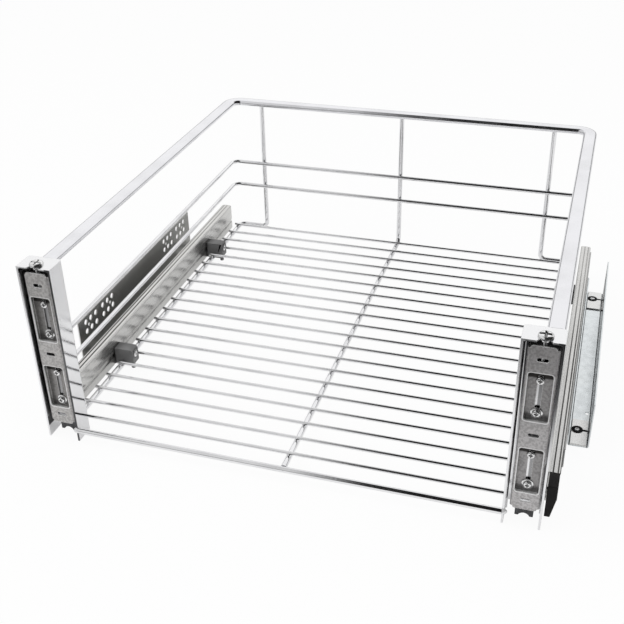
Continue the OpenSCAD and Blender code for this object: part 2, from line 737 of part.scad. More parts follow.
// A clip holds the basket's side frame wire and is screwed to the moving profile.
module clip(s, end) {
    color("dimgray")
        side(s) translate([0, y_clip(end), 0])
            difference() {
                union() {
                    along_y(-clip_len / 2, clip_len / 2) {
                        rounded_rect(x_clip, z_clip, x_face, z_floor + clip_rise, clip_round);
                        translate([x_frame, z_clip])
                            square([frame_inset, z_floor + clip_rise - z_clip]);
                    }
                    translate([x_clip - clip_rim[1], 0, z_clip_screw])
                        rotate([0, 90, 0]) cylinder(d = clip_rim[0], h = clip_rim[1] + clip_round);
                    translate([x_clip + clip_nub[2], 0, z_clip - clip_nub[1]])
                        cylinder(d = clip_nub[0], h = clip_nub[1] + clip_round);
                }
                translate([x_frame, 0, z_frame])
                    rotate([90, 0, 0])
                        cylinder(d = frame_wire_d, h = clip_len + 2 * cut, center = true);
                translate([x_clip - clip_rim[1] - cut, 0, z_clip_screw]) rotate([0, 90, 0]) {
                    cylinder(d = clip_screw_head[0], h = cut + clip_screw_head[1]);
                    cylinder(d = clip_screw_d, h = clip_reach + clip_rim[1] + 2 * cut);
                }
            }
}

module left_front_clip() { clip(-1, -1); }
module left_rear_clip() { clip(-1, 1); }
module right_front_clip() { clip(1, -1); }
module right_rear_clip() { clip(1, 1); }

module clip_screws() {
    color("silver")
        for (s = sides, end = sides)
            side(s) translate([x_clip - clip_rim[1], y_clip(end), z_clip_screw])
                rotate([0, 90, 0]) difference() {
                    union() {
                        cylinder(d = clip_screw_head[0], h = clip_screw_head[1]);
                        cylinder(d = clip_screw_d, h = clip_reach + clip_rim[1] + profile_t);
                    }
                    cross_recess(-cut, clip_recess[1], clip_recess[0]);
                }
}

// Middle rail: a channel inside the moving profile, open towards the cabinet side.
module middle_rail(s) {
    color("silver")
        side(s) along_y(y_middle, y_middle_end)
            folded([[x_middle_out, middle_z[1]], [x_middle, middle_z[1]],
                    [x_middle, middle_z[0]], [x_middle_out, middle_z[0]]], rail_t, rail_bend);
}

module left_middle_rail() { middle_rail(-1); }
module right_middle_rail() { middle_rail(1); }

// Ball cage: a folded strip that holds a row of balls under and over the member it
// surrounds, whose heights are z. Its web starts at x0 and its two shelves end at x1.
module ball_cage(s, y0, x0, x1, z, x_ball) {
    length = (balls_per_row - 1) * ball_pitch + 2 * cage_end;
    rows = [z[0] - race_gap / 2, z[1] + race_gap / 2];
    color("gray")
        side(s) difference() {
            along_y(y0, y0 + length) {
                translate([x0, rows[0] - cage_t / 2])
                    square([cage_t, rows[1] - rows[0] + cage_t]);
                for (row = rows) translate([x0, row - cage_t / 2]) square([x1 - x0, cage_t]);
            }
            ball_rows(y0, x_ball, rows, ball_d + 2 * pocket_gap);
        }
    color("silver") side(s) ball_rows(y0, x_ball, rows, ball_d);
}

module ball_rows(y0, x, rows, d) {
    for (z = rows, i = [0:balls_per_row - 1])
        translate([x, y0 + cage_end + i * ball_pitch, z]) sphere(d = d);
}

module inner_ball_cage(s) {
    ball_cage(s, y_profile + inner_cage_setback, x_middle - cage_gap - cage_t,
              x_profile_out - cage_gap, middle_z, x_middle + inner_ball_x);
}

module outer_ball_cage(s) {
    ball_cage(s, y_cabinet_rail + outer_cage_setback, x_lip - cage_gap - cage_t,
              x_middle_out - cage_gap, rail_z, x_lip + outer_ball_x);
}

module left_inner_ball_cage() { inner_ball_cage(-1); }
module right_inner_ball_cage() { inner_ball_cage(1); }
module left_outer_ball_cage() { outer_ball_cage(-1); }
module right_outer_ball_cage() { outer_ball_cage(1); }

// Cabinet rail: a channel inside the middle rail, open towards the basket and fixed to the
// bracket's upstand.
module cabinet_rail(s) {
    color("silver")
        side(s) along_y(y_cabinet_rail, y_cabinet_rail_end)
            folded([[x_lip, rail_z[0]], [x_rail_out, rail_z[0]],
                    [x_rail_out, rail_z[1]], [x_lip, rail_z[1]]], rail_t, rail_bend);
}

module left_cabinet_rail() { cabinet_rail(-1); }
module right_cabinet_rail() { cabinet_rail(1); }

// ---------------------------------------------------------------- cabinet brackets

// Bracket: an upstand that carries the cabinet rail, a ledge, and an upright flange with two
// groups of screw holes for the cabinet side. The flange ends short of the ledge.
module cabinet_bracket(s) {
    fold = cabinet_bracket_t * bend_share;
    flange_top = z_floor + flange_rise;
    color("lightgray")
        side(s) difference() {
            along_y(y_cabinet_rail, y_cabinet_rail_end)
                folded([[x_rail_out, rail_z[1] - rail_bend],
                        [x_rail_out, z_ledge - cabinet_bracket_t],
                        [x_flange, z_ledge - cabinet_bracket_t], [x_flange, flange_top]],
                       cabinet_bracket_t, fold);
            translate([x_flange - cabinet_bracket_t - cut, y_flange_end,
                       z_ledge - cabinet_bracket_t + fold])
                cube([cabinet_bracket_t + 2 * cut, flange_setback + cut,
                      flange_top - z_ledge + cut]);
            for (offset = cab_offsets, row = pair)
                flange_holes(offset, cab_hole_rise + row * cab_row_pitch, cab_hole_d);
            for (k = [0, 2 * cab_columns - 2])
                flange_holes(cab_offsets[k] + cab_hole_pitch / 2,
                             cab_hole_rise + cab_row_pitch / 2, pin_hole_d);
            ledge_hole(x_flange - ledge_mark[0], y_cabinet_rail + ledge_mark[1], ledge_mark[2]);
            for (end = sides) ledge_hole(x_eye, y_adjuster(end), adjuster_shank_d);
        }
}

// The same hole in both groups, which mirror each other along the flange.
module flange_holes(offset, rise, d) {
    for (y = [y_cabinet_rail + offset, y_flange_end - offset])
        translate([x_flange - cabinet_bracket_t - cut, y, z_floor + rise])
            rotate([0, 90, 0]) cylinder(d = d, h = cabinet_bracket_t + 2 * cut);
}

module ledge_hole(x, y, d) {
    translate([x, y, z_ledge - cabinet_bracket_t - cut])
        cylinder(d = d, h = cabinet_bracket_t + 2 * cut);
}

module left_cabinet_bracket() { cabinet_bracket(-1); }
module right_cabinet_bracket() { cabinet_bracket(1); }

// A pad lies on the ledge at each end; its eye and tail slot take an adjusting screw.
module adjuster_pads(s) {
    color("gainsboro")
        for (end = sides)
            side(s) translate([0, 0, z_ledge]) linear_extrude(pad[1])
                difference() {
                    translate([x_pad, y_pad(end)]) square([x_pad_out - x_pad, pad[0]]);
                    translate([x_eye, y_adjuster(end)]) {
                        circle(d = eye_d);
                        translate([(eye_tail[0] - eye_tail[1]) / 2, 0])
                            slot_shape(eye_tail[0], eye_tail[1]);
                    }
                }
}

module left_adjuster_pads() { adjuster_pads(-1); }
module right_adjuster_pads() { adjuster_pads(1); }

module adjusting_screws(s) {
    color("silver")
        for (end = sides)
            side(s) translate([x_eye, y_adjuster(end), z_ledge])
                difference() {
                    union() {
                        cylinder(d = adjuster_head[0], h = adjuster_head[1]);
                        translate([0, 0, -cabinet_bracket_t])
                            cylinder(d = adjuster_shank_d,
                                     h = cabinet_bracket_t + adjuster_head[1] / 2);
                    }
                    cross_recess(adjuster_head[1] - adjuster_recess[1], adjuster_head[1] + cut,
                                 adjuster_recess[0]);
                }
}

module left_adjusting_screws() { adjusting_screws(-1); }
module right_adjusting_screws() { adjusting_screws(1); }

// ---------------------------------------------------------------- drawing

top_rim();
upper_guard_wire();
lower_guard_wire();
left_frame_wire();
centre_frame_wire();
right_frame_wire();
front_rail();
for (i = [0:FLOOR_WIRES - 1])
    floor_wire(i);
left_door_bracket();
right_door_bracket();
left_bracket_foot();
right_bracket_foot();
left_clamping_screws();
right_clamping_screws();
left_door_plate();
right_door_plate();
left_height_screw();
right_height_screw();
left_side_profile();
right_side_profile();
right_profile_cap();
left_front_clip();
left_rear_clip();
right_front_clip();
right_rear_clip();
clip_screws();
left_middle_rail();
right_middle_rail();
left_inner_ball_cage();
right_inner_ball_cage();
left_outer_ball_cage();
right_outer_ball_cage();
left_cabinet_rail();
right_cabinet_rail();
left_cabinet_bracket();
right_cabinet_bracket();
left_adjuster_pads();
right_adjuster_pads();
left_adjusting_screws();
right_adjusting_screws();
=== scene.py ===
"""Looks of an open-front chromed wire basket that slides out of a base cabinet.

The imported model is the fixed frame, in metres: +X to the right seen from the door, +Y into
the cabinet, +Z up.  Every node keeps its place.  The classes below dress the nodes of one
sub-assembly each and add the details that its maker leaves on it, such as weld beads and
screw threads.
"""

from __future__ import annotations

import json
import logging
import math
from dataclasses import dataclass, replace
from enum import Enum
from functools import reduce
from typing import Any, ClassVar, Mapping, Optional, Sequence, Union

import bmesh
import bpy
import numpy as np
from mathutils import Euler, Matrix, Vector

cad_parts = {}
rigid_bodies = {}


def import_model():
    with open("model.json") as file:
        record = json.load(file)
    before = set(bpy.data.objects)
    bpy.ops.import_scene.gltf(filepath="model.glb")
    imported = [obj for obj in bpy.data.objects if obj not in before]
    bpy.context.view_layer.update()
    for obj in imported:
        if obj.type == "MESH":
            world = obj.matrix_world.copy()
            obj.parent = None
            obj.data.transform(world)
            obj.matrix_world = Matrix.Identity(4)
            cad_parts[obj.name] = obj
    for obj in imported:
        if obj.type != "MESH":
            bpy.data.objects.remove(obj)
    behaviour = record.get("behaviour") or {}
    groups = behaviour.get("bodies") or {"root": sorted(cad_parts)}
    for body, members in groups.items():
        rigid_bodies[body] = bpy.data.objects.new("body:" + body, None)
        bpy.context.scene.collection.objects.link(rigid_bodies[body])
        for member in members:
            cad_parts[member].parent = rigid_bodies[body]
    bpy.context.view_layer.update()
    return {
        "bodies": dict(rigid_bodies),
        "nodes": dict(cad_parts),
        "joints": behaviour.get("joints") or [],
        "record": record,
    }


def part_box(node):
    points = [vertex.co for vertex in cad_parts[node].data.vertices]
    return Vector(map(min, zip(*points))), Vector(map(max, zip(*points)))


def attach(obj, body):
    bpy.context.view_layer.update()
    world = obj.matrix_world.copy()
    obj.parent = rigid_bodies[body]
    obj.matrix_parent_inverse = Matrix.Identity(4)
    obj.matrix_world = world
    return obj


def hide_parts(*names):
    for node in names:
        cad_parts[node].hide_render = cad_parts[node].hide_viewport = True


LOG = logging.getLogger("basket")
MM = 0.001


# ---------------------------------------- node expressions


class Sock:
    """An output socket that can be used in Python expressions."""

    def __init__(self, graph: Graph, socket: bpy.types.NodeSocket) -> None:
        """Keeps the socket and the graph that it belongs to."""
        self.graph = graph
        self.socket = socket

    def __add__(self, other: Number) -> Sock:
        """self + other"""
        return self.graph.math("ADD", self, other)

    def __radd__(self, other: Number) -> Sock:
        """other + self"""
        return self.graph.math("ADD", other, self)

    def __sub__(self, other: Number) -> Sock:
        """self - other"""
        return self.graph.math("SUBTRACT", self, other)

    def __rsub__(self, other: Number) -> Sock:
        """other - self"""
        return self.graph.math("SUBTRACT", other, self)

    def __mul__(self, other: Number) -> Sock:
        """self * other"""
        return self.graph.math("MULTIPLY", self, other)

    def __rmul__(self, other: Number) -> Sock:
        """other * self"""
        return self.graph.math("MULTIPLY", other, self)

    def __pow__(self, other: Number) -> Sock:
        """self ** other"""
        return self.graph.math("POWER", self, other)

    def maximum(self, other: Number) -> Sock:
        """The larger of the two values."""
        return self.graph.math("MAXIMUM", self, other)

    def size(self) -> Sock:
        """The value without its sign."""
        return self.graph.math("ABSOLUTE", self, 0.0)

    def near(self, middle: float, reach: float) -> Sock:
        """1 at a middle value, falling smoothly to 0 at a reach on both sides."""
        return 1.0 - (self - middle).size().step(reach * 0.5, reach)

    def bands(self, middles: Sequence[float], reach: float) -> Sock:
        """1 at each of several middle values, falling smoothly to 0 round it."""
        return reduce(Sock.maximum, [self.near(middle, reach) for middle in middles])

    def step(self, low: float, high: float) -> Sock:
        """Smooth step from 0 at low to 1 at high.

        Args:
            low: Value at which the step starts.
            high: Value at which the step is complete.

        Returns:
            The stepped value.
        """
        return self.graph.value(
            "ShaderNodeMapRange",
            {"interpolation_type": "SMOOTHSTEP"},
            {"Value": self, "From Min": low, "From Max": high},
        )


Number = Union[Sock, float]
Colour = tuple[float, float, float]


class Graph:
    """The node tree of one material or world."""

    def __init__(self, tree: bpy.types.NodeTree) -> None:
        """Starts from an empty tree."""
        self.tree = tree
        tree.nodes.clear()

    def node(
        self,
        kind: str,
        settings: Optional[Mapping[str, Any]] = None,
        inputs: Optional[Mapping[Union[str, int], Any]] = None,
    ) -> bpy.types.Node:
        """Adds a node.

        Args:
            kind: Blender's type name of the node.
            settings: Properties that are set first, such as an operation.
            inputs: Values or links by socket name or number, a colour as red, green and blue.

        Returns:
            The new node.
        """
        made = self.tree.nodes.new(kind)
        for name, value in (settings or {}).items():
            setattr(made, name, value)
        for key, value in (inputs or {}).items():
            socket = made.inputs[key]
            if isinstance(value, Sock):
                self.tree.links.new(value.socket, socket)
            else:
                socket.default_value = (*value, 1.0) if socket.type == "RGBA" else value
        return made

    def value(
        self,
        kind: str,
        settings: Optional[Mapping[str, Any]] = None,
        inputs: Optional[Mapping[Union[str, int], Any]] = None,
        output: Union[str, int] = 0,
    ) -> Sock:
        """Adds a node and gives one of its outputs.

        Args:
            kind: Blender's type name of the node.
            settings: Properties that are set first.
            inputs: Values or links by socket name or number.
            output: Name or number of the output.

        Returns:
            That output.
        """
        return Sock(self, self.node(kind, settings, inputs).outputs[output])

    def math(self, operation: str, a: Number, b: Number) -> Sock:
        """The result of a Math node on a and b."""
        return self.value("ShaderNodeMath", {"operation": operation}, {0: a, 1: b})

    def mix(self, factor: Number, a: Any, b: Any) -> Sock:
        """The colour between a and b, at factor."""
        return self.value(
            "ShaderNodeMix", {"data_type": "RGBA"}, {0: factor, 6: a, 7: b}, output=2
        )

    def place(self) -> Sock:
        """Object coordinates, which are the place in the object's frame, in metres."""
        return self.value("ShaderNodeTexCoord", output="Object")

    def parts(self, vector: Sock) -> list[Sock]:
        """The X, Y and Z parts of a vector."""
        split = self.node("ShaderNodeSeparateXYZ", {}, {"Vector": vector})
        return [Sock(self, split.outputs[axis]) for axis in "XYZ"]

    def scaled(self, vector: Sock, scale: Sequence[float]) -> Sock:
        """The vector with each of its three parts scaled."""
        return self.value("ShaderNodeMapping", {}, {"Vector": vector, "Scale": tuple(scale)})

    def noise(self, vector: Sock, scale: float, detail: float = 2.0) -> Sock:
        """Soft noise from 0 to 1.

        Args:
            vector: Where the noise is read.
            scale: Features per metre.
            detail: Number of finer octaves.

        Returns:
            The noise's value.
        """
        return self.value(
            "ShaderNodeTexNoise", {}, {"Vector": vector, "Scale": scale, "Detail": detail}
        )

    def bump(self, height: Sock, depth: float, strength: float) -> Sock:
        """A normal tilted by a height field.

        Args:
            height: Height from 0 to 1.
            depth: Depth of that height in metres.
            strength: Share of the effect.

        Returns:
            The tilted normal.
        """
        return self.value(
            "ShaderNodeBump", {}, {"Height": height, "Distance": depth, "Strength": strength}
        )

    def mark(self, name: str) -> Sock:
        """A value that the mesh carries at its points, 0 where it has none."""
        return self.value("ShaderNodeAttribute", {"attribute_name": name}, output="Fac")

    def blend(self, factor: Number, a: Sock, b: Sock) -> Sock:
        """The shader between a and b, at factor."""
        return self.value("ShaderNodeMixShader", {}, {0: factor, 1: a, 2: b})

    def surface(self, inputs: Mapping[str, Any]) -> None:
        """Ends the graph in a Principled shader with these inputs."""
        shader = self.value("ShaderNodeBsdfPrincipled", {}, inputs)
        self.node("ShaderNodeOutputMaterial", {}, {"Surface": shader})


def new_material(name: str) -> tuple[bpy.types.Material, Graph]:
    """A new material and its empty graph.

    Args:
        name: The material's name.

    Returns:
        The material and its graph.
    """
    material = bpy.data.materials.new(name)
    material.use_nodes = True
    return material, Graph(material.node_tree)


# ---------------------------------------- finishes


class Grain(Enum):
    """Direction along which a sheet or wire was drawn, as scales across X, Y and Z."""

    ALONG_X = (0.02, 1.0, 1.0)
    ALONG_Y = (1.0, 0.02, 1.0)
    ALONG_Z = (1.0, 1.0, 0.02)
    NONE = (1.0, 1.0, 1.0)


@dataclass(frozen=True)
class Chrome:
    """Bright plating over drawn wire or a screw, with painted shade in its recess if it has one.
    """

    name: str
    colour: Colour = (0.90, 0.90, 0.91)
    shade: Colour = (0.72, 0.72, 0.74)
    grain: Grain = Grain.NONE
    roughness: float = 0.07
    haze: float = 0.10
    ripple: float = 0.00002
    metallic: float = 1.0
    # Colour of the painted shade in a screw's recess.
    recess: Optional[Colour] = None

    def build(self) -> bpy.types.Material:
        """Cloudy haze in the plating, drawing lines under it, a faint orange peel and painted
        shade in a screw's recess.

        Returns:
            The material.
        """
        material, g = new_material(self.name)
        place = g.place()
        cloud = g.noise(place, 26.0, 3.0).step(0.38, 0.72)
        lines = g.noise(g.scaled(place, self.grain.value), 2600.0, 2.0)
        peel = g.noise(place, 420.0, 1.0)
        specks = g.noise(place, 1900.0, 1.0).step(0.72, 0.80)
        tone = g.mix(cloud * 0.35 + lines * 0.12 + specks * 0.3, self.colour, self.shade)
        # Painted shade: the colour darkens where a screw's recess is deep.
        if self.recess:
            tone = g.mix(g.mark(PanScrew.MARK).step(0.35, 0.75), tone, self.recess)
        g.surface(
            {
                "Base Color": tone,
                "Metallic": self.metallic,
                "Roughness": self.roughness + cloud * self.haze * 0.5 + lines * self.haze * 0.4,
                "Normal": g.bump(peel + lines * 0.25, self.ripple, 0.6),
            }
        )
        return material


@dataclass(frozen=True)
class ChannelChrome:
    """Bright plating with painted shade inside a channel and on its front edges.

    Its places are in metres: the channel's middle, inner half width, rear wall and top, the
    raised panel behind the plate, and the marks that the plate and its screws rub on it.
    """

    name: str
    middle: float = 0.0
    inner: float = 0.0142
    wall: float = -0.2351
    top: float = 0.2020
    edge: float = 0.0003
    front_y: tuple[float, float] = (-0.2577, -0.2573)
    front_x: tuple[float, float] = (0.012, 0.013)
    # Height above which the painted shade starts.
    shade_from_z: float = -1.0
    shade_from_fade: float = 0.09
    panel: float = -0.24745
    panel_reach: float = 0.0008
    # Share of painted shade on the panel behind the plate.
    panel_shade: float = 0.72
    slide_mark: float = 0.0005
    slide_fade: float = 0.0009
    rubbed: float = 0.9
    rubbed_x: tuple[float, float] = (0.0055, 0.0065)
    rubbed_z: tuple[float, ...] = (0.1712, 0.0968, 0.0226)
    rubbed_reach: float = 0.0026
    colour: Colour = (0.90, 0.90, 0.91)
    # Colour of the painted shade.
    recess: Colour = (0.085, 0.085, 0.088)
    roughness: float = 0.05
    haze: float = 0.16
    haze_above: float = 0.115
    haze_fade: float = 0.06

    def build(self) -> bpy.types.Material:
        """Chrome outside, and painted shade inside the channel, on the panel and on the front
        edges.

        Returns:
            The material.
        """
        material, g = new_material(self.name)
        place = g.place()
        x, y, z = g.parts(place)
        across = (x - self.middle).size()
        inside = (
            (1.0 - across.step(self.inner - self.edge, self.inner + self.edge))
            * (1.0 - y.step(self.wall - self.edge, self.wall + self.edge))
            * (1.0 - z.step(self.top - self.edge, self.top + self.edge))
        )
        cloud = g.noise(place, 30.0, 3.0)
        lines = g.noise(g.scaled(place, Grain.ALONG_Z.value), 2600.0, 2.0)
        # Painted shade: the inside of the channel, the front edges of its flanges and the panel
        # behind the plate are darkened, only above a given height.
        high = z.step(self.shade_from_z, self.shade_from_z + self.shade_from_fade)
        front = (1.0 - y.step(*self.front_y)) * (x - self.middle).step(*self.front_x)
        unmarked = across.step(self.slide_mark, self.slide_mark + self.slide_fade)
        on_panel = y.near(self.panel, self.panel_reach)
        bright = z.bands(self.rubbed_z, self.rubbed_reach) * (1.0 - across.step(*self.rubbed_x))
        painted_shade = (inside * (1.0 - on_panel)).maximum(front) * high
        painted_shade = painted_shade.maximum(on_panel * inside * unmarked * self.panel_shade)
        painted_shade = painted_shade * (0.85 + cloud * 0.25) * (1.0 - bright * self.rubbed)
        g.surface(
            {
                "Base Color": g.mix(painted_shade, self.colour, self.recess),
                "Metallic": 1.0,
                "Roughness": self.roughness
                + cloud.step(0.4, 0.7) * 0.03
                + inside * self.haze
                + z.step(self.haze_above, self.haze_above + self.haze_fade) * self.haze,
                "Normal": g.bump(lines, 0.00002, 0.5),
            }
        )
        return material


@dataclass(frozen=True)
class SatinSteel:
    """Rolled or pressed steel with a satin plating that shows its rolling lines."""

    name: str
    colour: Colour = (0.60, 0.60, 0.59)
    shade: Colour = (0.45, 0.45, 0.44)
    # Colour of dark spots and of painted shade.
    soil_and_shade: Colour = (0.035, 0.032, 0.030)
    grain: Grain = Grain.ALONG_Y
    roughness: float = 0.30
    spread: float = 0.16
    relief: float = 0.00002
    metallic: float = 1.0

    def build(self) -> bpy.types.Material:
        """Fine lines along the grain, broad cloudy tone, rubbed streaks, and then any spots and
        painted shade.

        Returns:
            The material.
        """
        material, g = new_material(self.name)
        place = g.place()
        along = g.scaled(place, self.grain.value)
        fine = g.noise(along, 3200.0, 3.0)
        broad = g.noise(along, 420.0, 2.0)
        cloud = g.noise(place, 17.0, 3.0).step(0.3, 0.75)
        rubbed = g.noise(along, 900.0, 1.0).step(0.62, 0.75)
        tone = g.mix(cloud * 0.45 + broad * 0.35 + fine * 0.2, self.colour, self.shade)
        g.surface(
            {
                "Base Color": self.soiled_and_shaded(g, place, tone, broad),
                "Metallic": self.metallic,
                "Roughness": self.roughness + fine * self.spread - rubbed * self.spread * 0.5,
                "Normal": g.bump(fine * 0.6 + broad * 0.4, self.relief, 0.7),
            }
        )
        return material

    def soiled_and_shaded(self, g: Graph, place: Sock, tone: Sock, broad: Sock) -> Sock:
        """The tone with what time and handling added and with painted shade, here nothing.

        Args:
            g: The material's graph, not used here.
            place: Object coordinates, not used here.
            tone: Colour of the clean steel.
            broad: Its broad noise, not used here.

        Returns:
            The colour that shows.
        """
        return tone


@dataclass(frozen=True)
class SeamedSteel(SatinSteel):
    """Satin steel of the moving profiles, with painted shade along their folded seams, in metres.
    """

    seams: tuple[float, ...] = (0.2534, 0.2579, 0.2602)
    reach: float = 0.0008
    above: tuple[float, float] = (0.0446, 0.0450)
    crease_fade_y: tuple[float, float] = (-0.06, 0.20)
    crease_fade_share: float = 0.6

    def soiled_and_shaded(self, g: Graph, place: Sock, tone: Sock, broad: Sock) -> Sock:
        """Painted shade in each seam of the upper side, fading towards the rear.

        Args:
            g: The material's graph.
            place: Object coordinates.
            tone: Colour of the clean steel.
            broad: Its broad noise.

        Returns:
            The colour that shows.
        """
        x, y, z = g.parts(place)
        # Painted shade: the seams are darkened as creases that little light reaches.
        crease_shade = x.size().bands(self.seams, self.reach) * z.step(*self.above)
        kept = 1.0 - y.step(*self.crease_fade_y) * self.crease_fade_share
        return g.mix(crease_shade * kept * (0.7 + broad * 0.5), tone, self.soil_and_shade)


@dataclass(frozen=True)
class PlateSteel(SatinSteel):
    """Mottled satin steel of a door plate, with painted shade behind its two embossed windows, in
    metres.
    """

    grain: Grain = Grain.NONE
    roughness: float = 0.32
    relief: float = 0.00005
    metallic: float = 0.75
    mottle: float = 0.30
    middle: float = 0.0
    web_back: float = -0.2500
    web_fade: float = 0.0006
    window_z: tuple[float, float] = (0.0636, 0.1439)
    window_half: tuple[float, float] = (0.0106, 0.0251)
    # Colour of the painted highlight round each window.
    window_highlight: Colour = (0.88, 0.88, 0.88)
    window_corner: float = 0.0022
    edge_middle: float = 0.0004
    edge_reach: float = 0.0007
    edge_share: float = 0.8
    shadow_drop: float = 0.0050
    shadow_reach: float = 0.0042
    # Share of painted shade on the web behind the windows, and on the plate's top.
    window_recess_shade: float = 0.30
    upper_z: tuple[float, float] = (0.04, 0.19)
    upper_shade: float = 0.0

    def soiled_and_shaded(self, g: Graph, place: Sock, tone: Sock, broad: Sock) -> Sock:
        """Dark spots, painted shade in the recess, painted shadow under the windows' tops, and
        painted highlights round the windows.

        Args:
            g: The material's graph.
            place: Object coordinates.
            tone: Colour of the clean steel.
            broad: Its broad noise, not used here.

        Returns:
            The colour that shows.
        """
        spots = g.noise(place, 520.0, 3.0).step(0.42, 0.60)
        tone = g.mix(spots * self.mottle, tone, self.soil_and_shade)
        x, y, z = g.parts(place)
        # Painted shadow under each window's top edge, painted shade on the web behind the windows
        # and, if set, on the plate's top.
        tops = [middle + self.window_half[1] - self.shadow_drop for middle in self.window_z]
        window_top_shadow = z.bands(tops, self.shadow_reach)
        deep = y.step(self.web_back, self.web_back + self.web_fade)
        painted_shade = (window_top_shadow * (1.0 - self.window_recess_shade) + self.window_recess_shade) * deep
        painted_shade = painted_shade.maximum(z.step(*self.upper_z) * self.upper_shade)
        tone = g.mix(painted_shade, tone, self.soil_and_shade)
        # Painted highlight: a light line just outside each window's rounded edge.
        for middle_z in self.window_z:
            rim = self.outline(x, z - middle_z) * (1.0 - deep)
            tone = g.mix(rim * self.edge_share, tone, self.window_highlight)
        return tone

    def outline(self, x: Sock, up: Sock) -> Sock:
        """1 just outside a window whose corners are round, falling to 0 on both sides.

        Args:
            x: Place across the sheet.
            up: Height over the window's middle.

        Returns:
            The mask.
        """
        half_x, half_z = self.window_half
        out_x = ((x - self.middle).size() - (half_x - self.window_corner)).maximum(0.0)
        out_z = (up.size() - (half_z - self.window_corner)).maximum(0.0)
        away = (out_x * out_x + out_z * out_z) ** 0.5 - self.window_corner
        return away.near(self.edge_middle, self.edge_reach)


@dataclass(frozen=True)
class ZincPlate:
    """Pale blue-grey zinc with a faint crystal pattern, and painted shade along given lines."""

    name: str
    colour: Colour = (0.74, 0.765, 0.775)
    shade: Colour = (0.58, 0.605, 0.61)
    tint: Colour = (0.74, 0.74, 0.69)
    roughness: float = 0.32
    metallic: float = 1.0
    crystal: float = 160.0
    shaded_lines: tuple[float, ...] = ()
    edge_reach: float = 0.0007
    line_shade: Colour = (0.06, 0.065, 0.065)

    def build(self) -> bpy.types.Material:
        """Each crystal has its own tone and gloss, a yellowish bloom drifts over them, and painted
        shade lies along given lines.

        Returns:
            The material.
        """
        material, g = new_material(self.name)
        place = g.place()
        cells = g.value(
            "ShaderNodeTexVoronoi", {}, {"Vector": place, "Scale": self.crystal}, output="Distance"
        )
        tone = g.noise(place, 60.0, 3.0)
        bloom = g.noise(place, 14.0, 2.0).step(0.45, 0.75)
        scratch = g.noise(g.scaled(place, (1.0, 0.04, 1.0)), 1500.0, 2.0).step(0.60, 0.72)
        plain = g.mix(cells * 0.12 + tone * 0.45, self.colour, self.shade)
        plain = g.mix(bloom * 0.30, plain, self.tint)
        # Painted shade: dark lines where the ledge meets the parts beside it.
        if self.shaded_lines:
            in_line_shade = g.parts(place)[0].size().bands(self.shaded_lines, self.edge_reach)
            plain = g.mix(in_line_shade * (0.6 + tone * 0.5), plain, self.line_shade)
        g.surface(
            {
                "Base Color": plain,
                "Metallic": self.metallic,
                "Roughness": self.roughness + cells * 0.10 - scratch * 0.06,
                "Normal": g.bump(cells * 0.5 + scratch * 0.5, 0.00001, 0.5),
            }
        )
        return material


@dataclass(frozen=True)
class Plastic:
    """Moulded plastic with a fine grain, lighter rubbed patches and painted shade past a given
    place across.
    """

    name: str
    colour: Colour = (0.050, 0.050, 0.053)
    rubbed: Colour = (0.120, 0.120, 0.124)
    roughness: float = 0.36
    gloss: float = 0.5
    relief: float = 0.00005
    joint: Colour = (0.012, 0.012, 0.013)
    gap_shade_from: float = 1.0
    gap_shade_fade: float = 0.0008

    def build(self) -> bpy.types.Material:
        """Pebbled mould grain, flow marks, a greyer bloom where it is handled, and painted shade
        past a place across.

        Returns:
            The material.
        """
        material, g = new_material(self.name)
        place = g.place()
        grain = g.noise(place, 2400.0, 2.0)
        flow = g.noise(g.scaled(place, (1.0, 0.3, 1.6)), 90.0, 3.0)
        bloom = g.noise(place, 45.0, 2.0).step(0.42, 0.70)
        tone = g.mix(bloom * 0.6 + flow * 0.3, self.colour, self.rubbed)
        # Painted shade: the gap beside the profile is darkened past a given place across.
        beyond = g.parts(place)[0].size().step(self.gap_shade_from, self.gap_shade_from + self.gap_shade_fade)
        g.surface(
            {
                "Base Color": g.mix(beyond, tone, self.joint),
                "Roughness": self.roughness + grain * 0.18 - bloom * 0.08,
                "Specular IOR Level": self.gloss,
                "Normal": g.bump(grain * 0.8 + flow * 0.2, self.relief, 0.8),
            }
        )
        return material


@dataclass(frozen=True)
class SatinCoat:
    """Pale satin coat with a slight orange peel."""

    name: str
    colour: Colour = (0.86, 0.86, 0.85)
    shade: Colour = (0.74, 0.74, 0.73)
    roughness: float = 0.20

    def build(self) -> bpy.types.Material:
        """Orange peel, cloudy tone and small dull specks.

        Returns:
            The material.
        """
        material, g = new_material(self.name)
        place = g.place()
        peel = g.noise(place, 700.0, 2.0)
        cloud = g.noise(place, 35.0, 3.0)
        specks = g.noise(place, 2100.0, 1.0).step(0.70, 0.80)
        g.surface(
            {
                "Base Color": g.mix(cloud * 0.5 + specks * 0.5, self.colour, self.shade),
                "Metallic": 0.92,
                "Roughness": self.roughness + peel * 0.12,
                "Normal": g.bump(peel, 0.00004, 0.6),
            }
        )
        return material


Finish = Union[Chrome, ChannelChrome, SatinSteel, ZincPlate, Plastic, SatinCoat]
SCREW_FINISH = Chrome(
    "bright_screw",
    colour=(0.92, 0.92, 0.92),
    shade=(0.72, 0.72, 0.72),
    roughness=0.18,
    # The recess colour is painted shade in the screw's cross.
    recess=(0.22, 0.22, 0.22),
)


# ---------------------------------------- shapes


Points = np.ndarray
Faces = np.ndarray
Shape = tuple[Points, Faces]


def angles(columns: int) -> Points:
    """Equal angles round a ring, as a row."""
    return np.linspace(0.0, 2.0 * np.pi, columns, endpoint=False)[None, :]


